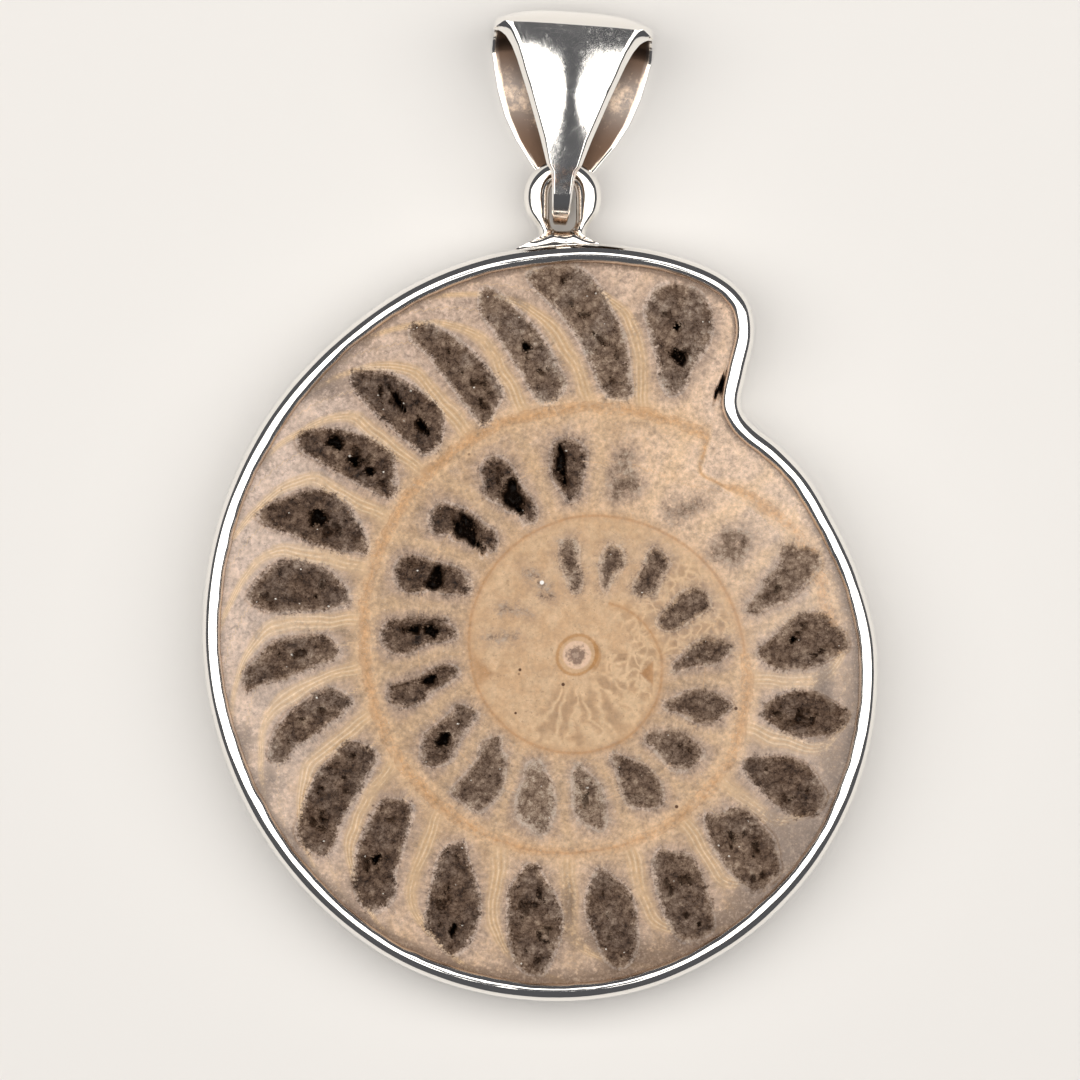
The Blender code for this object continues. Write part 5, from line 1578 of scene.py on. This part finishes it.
@dataclass(frozen=True)
class BailBuilder:
    """The bail: one band of sheet silver folded over the chain, its two ends closed round the hanging loop."""

    pivot: tuple[float, float, float] = (1.53, 21.1, 2.5)
    lean: float = 4.0
    bend_radius: float = 2.5
    # The band's outer line as seen from the side, as heights and depths from the pivot.
    front_line: Table = (
        (-0.44, 2.46), (1.5, 2.8), (4.0, 3.25), (6.5, 3.68), (8.2, 3.9), (9.5, 3.965), (10.6, 3.98),
    )
    top_line: Table = (
        (10.6, 3.98), (11.02, 3.36), (11.34, 2.56), (11.56, 1.45), (11.6, 0.2), (11.25, -1.0), (10.4, -1.9),
        (9.2, -2.38), (8.0, -2.5),
    )
    # Half the band's width against the height, in front and behind.
    front_widths: Table = (
        (-2.5, 0.46), (-1.9, 0.57), (-1.2, 0.63), (-0.3, 0.68), (0.5, 0.77), (1.0, 0.9), (1.3, 1.14), (3.0, 1.69),
        (5.7, 2.67), (8.1, 3.59), (9.0, 3.99), (9.8, 4.47), (10.5, 4.96), (11.6, 5.2),
    )
    back_widths: Table = (
        (-2.5, 0.45), (-0.3, 0.66), (0.2, 0.76), (1.0, 1.78), (1.3, 2.05), (2.0, 2.54), (3.0, 3.27), (4.5, 4.1),
        (6.2, 4.71), (7.7, 5.06), (9.2, 5.3), (10.1, 5.3), (11.6, 5.2),
    )
    # How strongly the front is rounded along its middle at each height, as one over its radius. Within the flare's
    # distance of the middle it is round, and beyond that it slopes evenly.
    front_rounding: Table = (
        (0.0, 0.01), (2.5, 0.02), (3.7, 0.034), (4.7, 0.049), (5.5, 0.072), (6.1, 0.082), (6.8, 0.06),
        (8.0, 0.036), (9.0, 0.021), (9.6, 0.01), (10.2, 0.001), (10.6, 0.0),
    )
    flare: float = 1.2
    # The width of the slope along the front's edges, and the sheet's thickness, against the height.
    slopes: Table = (
        (-2.5, 0.1), (0.0, 0.17), (1.5, 0.3), (3.0, 0.42), (7.5, 0.45), (9.3, 0.62), (10.6, 0.84),
    )
    sheet: Table = ((-2.5, 0.5), (1.2, 0.52), (3.5, 0.62), (9.0, 0.86), (10.6, 1.1))
    back_sheet: float = 0.55
    back_slope: float = 0.14
    slope_rise: float = 1.25
    rim_round: float = 0.07
    crown: float = 0.8
    crown_power: float = 3.2
    crown_start: float = 8.0
    fold_half_width: float = 5.2
    # The section's places over the face, down an edge's slope, and from an edge to the middle underneath.
    face_places: int = 41
    edge_shares: tuple[float, ...] = (0.08, 0.18, 0.32, 0.66, 1.0)
    under_shares: tuple[float, ...] = (1.0, 0.985, 0.955, 0.91, 0.84, 0.7, 0.5, 0.25)
    # Where a slope's slow start ends, how it bends until there, and where its steady part would start.
    slow_end: float = 0.32
    slow_bend: float = 1.6
    steady_start: float = 0.19
    # The most of the half width that a slope takes, and the least thickness left at an edge.
    largest_slope: float = 0.4
    least_edge: float = 0.12
    rim_reach: float = 0.22
    # How far inside an edge the darkness of the inside begins and is full.
    inside_reach: tuple[float, float] = (0.12, 0.26)
    # Over how many stations past the front its slopes and thickness fade.
    fade: float = 14.0
    # The copper tint's height and spread inside, how dark the inside is, and how much less so there.
    copper: tuple[float, float] = (6.1, 1.7)
    darkness: float = 0.98
    copper_light: float = 0.16
    # The stations along the bend, front, fold and back, and how often their directions are smoothed.
    steps: tuple[int, int, int, int] = (30, 70, 56, 40)
    curve_steps: int = 40
    smoothings: int = 40
    sharp_angle: float = 26.0

    def path(self) -> tuple[Array, Array]:
        """The band's outer line: a round bend below, the front with its crease, the fold over the top, the back.

        Returns:
            For each station its height, its depth and the outward direction's two parts; and whether it is on the
            front.
        """
        share = np.arange(self.steps[0]) / self.steps[0]
        start, end = 1.5 * math.pi, math.atan2(self.front_line[0][1], self.front_line[0][0])
        angle = start + (end - start) * share
        bend = self.bend_radius * np.column_stack((np.cos(angle), np.sin(angle)))
        front, fold = (
            spaced(np.vstack((smooth_curve(np.array(line), self.curve_steps, False), line[-1:])), count)
            for line, count in ((self.front_line, self.steps[1]), (self.top_line, self.steps[2]))
        )
        height = self.top_line[-1][0] * (1 - np.arange(self.steps[3]) / self.steps[3])
        back = np.column_stack((height, np.full(len(height), -self.bend_radius)))
        line = np.concatenate((bend, front, fold, back))
        along = np.roll(line, -1, axis=0) - np.roll(line, 1, axis=0)
        along /= np.linalg.norm(along, axis=1)[:, None]
        outwards = np.column_stack((along[:, 1], -along[:, 0]))
        outwards *= np.sign(outwards[self.steps[0] + self.steps[1] // 2, 1])
        for _ in range(self.smoothings):
            outwards = (np.roll(outwards, 1, axis=0) + 2 * outwards + np.roll(outwards, -1, axis=0)) / 4
        outwards /= np.linalg.norm(outwards, axis=1)[:, None]
        is_front = np.zeros(len(line), bool)
        is_front[: self.steps[0] + self.steps[1] + 1] = True
        return np.column_stack((line, outwards)), is_front

    def widths(self, height: Array, depth: Array, is_front: Array) -> tuple[Array, Array, Array]:
        """What the tables give along the band, faded past the front to the back's own slope and sheet.

        Args:
            height: each station's height.
            depth: its depth.
            is_front: whether it is on the front.

        Returns:
            Half the band's width, the width of its slopes and the thickness of its sheet.
        """
        half = np.where(
            is_front & (depth > 0), table_value(self.front_widths, height), table_value(self.back_widths, height)
        )
        past = np.arange(len(height)) - (self.steps[0] + self.steps[1])
        fading = np.where(is_front, 1.0, smooth_step(self.fade, 0.0, past))
        slope = self.back_slope + (table_value(self.slopes, height) - self.back_slope) * fading
        sheet = self.back_sheet + (table_value(self.sheet, height) - self.back_sheet) * fading
        return half, np.minimum(slope, self.largest_slope * half), sheet

    def section(self, half: Array, slope: Array, sheet: Array) -> tuple[Array, Array, Array]:
        """The band's section: over the outer face, down the right slope, back under the sheet and up the left slope.

        A slope falls slowly at first and then at a steady steep angle.

        Args:
            half: half the band's width at each station.
            slope: the width of its slopes.
            sheet: the thickness of its sheet.

        Returns:
            The section's places sideways and under the outer face, and how dark the inside is at each.
        """
        spread = np.linspace(-1.0, 1.0, self.face_places)
        edge_share, under_share = np.array(self.edge_shares), np.array(self.under_shares)
        under_share = np.concatenate((under_share, [0.0], -under_share[::-1]))
        flat = (half - slope)[:, None]
        right = flat + slope[:, None] * edge_share
        sideways = np.concatenate((flat * spread, right, half[:, None] * under_share, -right[:, ::-1]), axis=1)
        fall = np.where(
            edge_share < self.slow_end, self.slow_bend * edge_share ** 2,
            self.slope_rise * (edge_share - self.steady_start),
        )
        down = np.minimum(slope[:, None] * fall, sheet[:, None] - self.least_edge)
        gap = half[:, None] * (1 - np.abs(under_share))
        under = sheet[:, None] - self.rim_round * (1 - smooth_step(0.0, self.rim_reach, gap))
        face, bare = np.zeros((len(half), len(spread))), np.zeros_like(down)
        inset = np.concatenate((face, down, under, down[:, ::-1]), axis=1)
        inner = smooth_step(*self.inside_reach, gap)
        return sideways, inset, np.concatenate((face, bare, inner, bare), axis=1)

    def build(self, material: bpy.types.Material) -> bpy.types.Object:
        """Carries the band's section once round its path, then turns it to its small lean.

        Args:
            material: the silver.

        Returns:
            The bail.
        """
        line, is_front = self.path()
        height, depth, out_height, out_depth = line.T
        half, slope, sheet = self.widths(height, depth, is_front)
        sideways, inset, inner = self.section(half, slope, sheet)
        on_front = is_front * smooth_step(-0.5, 1.0, depth)
        rounding = (table_value(self.front_rounding, height) * on_front)[:, None]
        across = np.minimum(np.abs(sideways), half[:, None]) / self.flare
        sag = rounding * self.flare ** 2 * (np.sqrt(1 + across ** 2) - 1)
        top = max(place for place, _ in self.top_line)
        nearness = np.clip((height - self.crown_start) / (top - self.crown_start), 0.0, 1.0)[:, None]
        nearness = nearness * (0.25 + 0.75 * smooth_step(3.9, 2.4, depth))[:, None]
        drop = self.crown * nearness * np.abs(sideways / self.fold_half_width) ** self.crown_power
        up = height[:, None] - out_height[:, None] * (inset + sag) - drop
        z = depth[:, None] - out_depth[:, None] * (inset + sag)
        turn = math.radians(self.lean)
        x = sideways * math.cos(turn) + up * math.sin(turn)
        y = -sideways * math.sin(turn) + up * math.cos(turn)
        points = np.stack((x, y, z), axis=2).reshape(-1, 3) + np.array(self.pivot)

        copper = bell(height - self.copper[0], self.copper[1])[:, None]
        tarnish = inner * (self.darkness - self.copper_light * copper)
        # The lower bend is browned towards its foot, under the loop: tarnish, and partly painted shade where the bend
        # curves under the loop.
        low = 0.75 * smooth_step(-1.0, -2.4, height)[:, None]
        joint = smooth_step(1.6, 0.9, height) * smooth_step(-0.4, 0.2, height) * (depth > 0)
        solder = np.tile(joint[:, None], (1, sideways.shape[1]))
        return Piece(
            "bail_folded", Body.BAIL, Slot.BAIL_SILVER, points,
            [grid_faces(len(height), sideways.shape[1], True, True)], material,
            {"tarnish": np.clip(tarnish + low, 0.0, 1.0).ravel(), "solder": solder.ravel()}, self.sharp_angle,
            ("bail",),
        ).build()


# ---------------------------------------------------------------- the studio


@dataclass(frozen=True)
class Studio:
    """A pale table, two large soft lights beside the camera and a dim grey room."""

    view_middle: tuple[float, float] = (0.033, -2.244)
    view_width: float = 71.28
    sensor: float = 36.0
    camera_distance: float = 700.0
    camera_sees: tuple[float, float] = (10.0, 10000.0)
    face_height: float = 4.5
    light_height: float = 420.0
    light_near: float = 22.0
    light_far: float = 800.0
    light_foot: float = -160.0
    light_top: float = 240.0
    head_near: float = 62.0
    # The watts of each light for so many square millimetres of it.
    light_power: float = 0.82
    light_area: float = 1e5
    light_colour: Colour = (1.0, 0.985, 0.96)
    room: Colour = (0.09, 0.091, 0.098)
    table: Colour = (0.8, 0.775, 0.745)
    table_size: float = 3000.0

    def build_camera(self) -> None:
        """Puts a long lens straight above the face."""
        data = bpy.data.cameras.new("camera")
        data.sensor_width = self.sensor
        data.lens = self.sensor * self.camera_distance / self.view_width
        data.clip_start, data.clip_end = (distance * MM for distance in self.camera_sees)
        camera = placed("camera", data)
        height = self.camera_distance + self.face_height
        camera.location = (self.view_middle[0] * MM, self.view_middle[1] * MM, height * MM)
        bpy.context.scene.camera = camera

    def build_lights(self) -> None:
        """Hangs flat lights facing down: one on each side of the camera, with a narrow gap between, and one beyond.

        All are equally bright, so each has power in proportion to its area.
        """
        middle = (self.light_near + self.light_far) / 2
        width = self.light_far - self.light_near
        length = self.light_top - self.light_foot
        head = self.light_top - self.head_near
        for name, across, up, size in (
            ("softbox_left", -middle, self.light_top - length / 2, (width, length)),
            ("softbox_right", middle, self.light_top - length / 2, (width, length)),
            ("softbox_head", 0.0, (self.light_top + self.head_near) / 2, (2 * self.light_near, head)),
        ):
            data = bpy.data.lights.new(name, "AREA")
            data.shape = "RECTANGLE"
            data.size, data.size_y = size[0] * MM, size[1] * MM
            data.energy = self.light_power * size[0] * size[1] / self.light_area
            data.color = self.light_colour
            light = placed(name, data)
            light.location = (across * MM, (self.view_middle[1] + up) * MM, self.light_height * MM)
            light.visible_camera = False

    def build_room(self) -> None:
        """Fills the room with a dim grey."""
        world = bpy.data.worlds.new("room")
        world.use_nodes = True
        background = world.node_tree.nodes["Background"]
        background.inputs["Color"].default_value = (*self.room, 1.0)
        bpy.context.scene.world = world
        bpy.context.scene.view_settings.view_transform = "Standard"

    def build_table(self) -> None:
        """Lays the plain pale table under the pendant."""
        shader = Shader("table_paper")
        shader.set(base_color=self.table, roughness=0.9, specular_ior_level=0.2)
        half = self.table_size * MM / 2
        mesh = bpy.data.meshes.new("table")
        mesh.from_pydata([(-half, -half, 0), (half, -half, 0), (half, half, 0), (-half, half, 0)], [], [(0, 1, 2, 3)])
        mesh.materials.append(shader.material)
        placed("table", mesh)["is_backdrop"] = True

    def build(self) -> None:
        """Sets the studio up."""
        self.build_camera()
        self.build_lights()
        self.build_room()
        self.build_table()


def box_lists() -> list[list[float]]:
    """The whole object's box as plain lists."""
    return [[float(number) for number in corner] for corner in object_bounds()]


def main() -> list[list[float]]:
    """Loads the frame and builds each sub-assembly.

    Returns:
        The box of the solids before they are dressed.
    """
    logging.basicConfig(level=logging.INFO, format="%(name)s: %(message)s")
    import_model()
    solids = box_lists()
    shell = Shell()
    slab, stone = SliceBuilder(shell), Calcite()
    slab.build(stone.build())
    CrystalBuilder(slab).build(stone.build_crystals())
    silver = Silver("setting_silver").build()
    BezelBuilder(shell.outline).build(silver)
    LoopBuilder().build(silver)
    BailBuilder().build(Silver("bail_silver", polish=0.06).build())
    Studio().build()
    return solids


if __name__ == "__main__":
    solid_box = main()
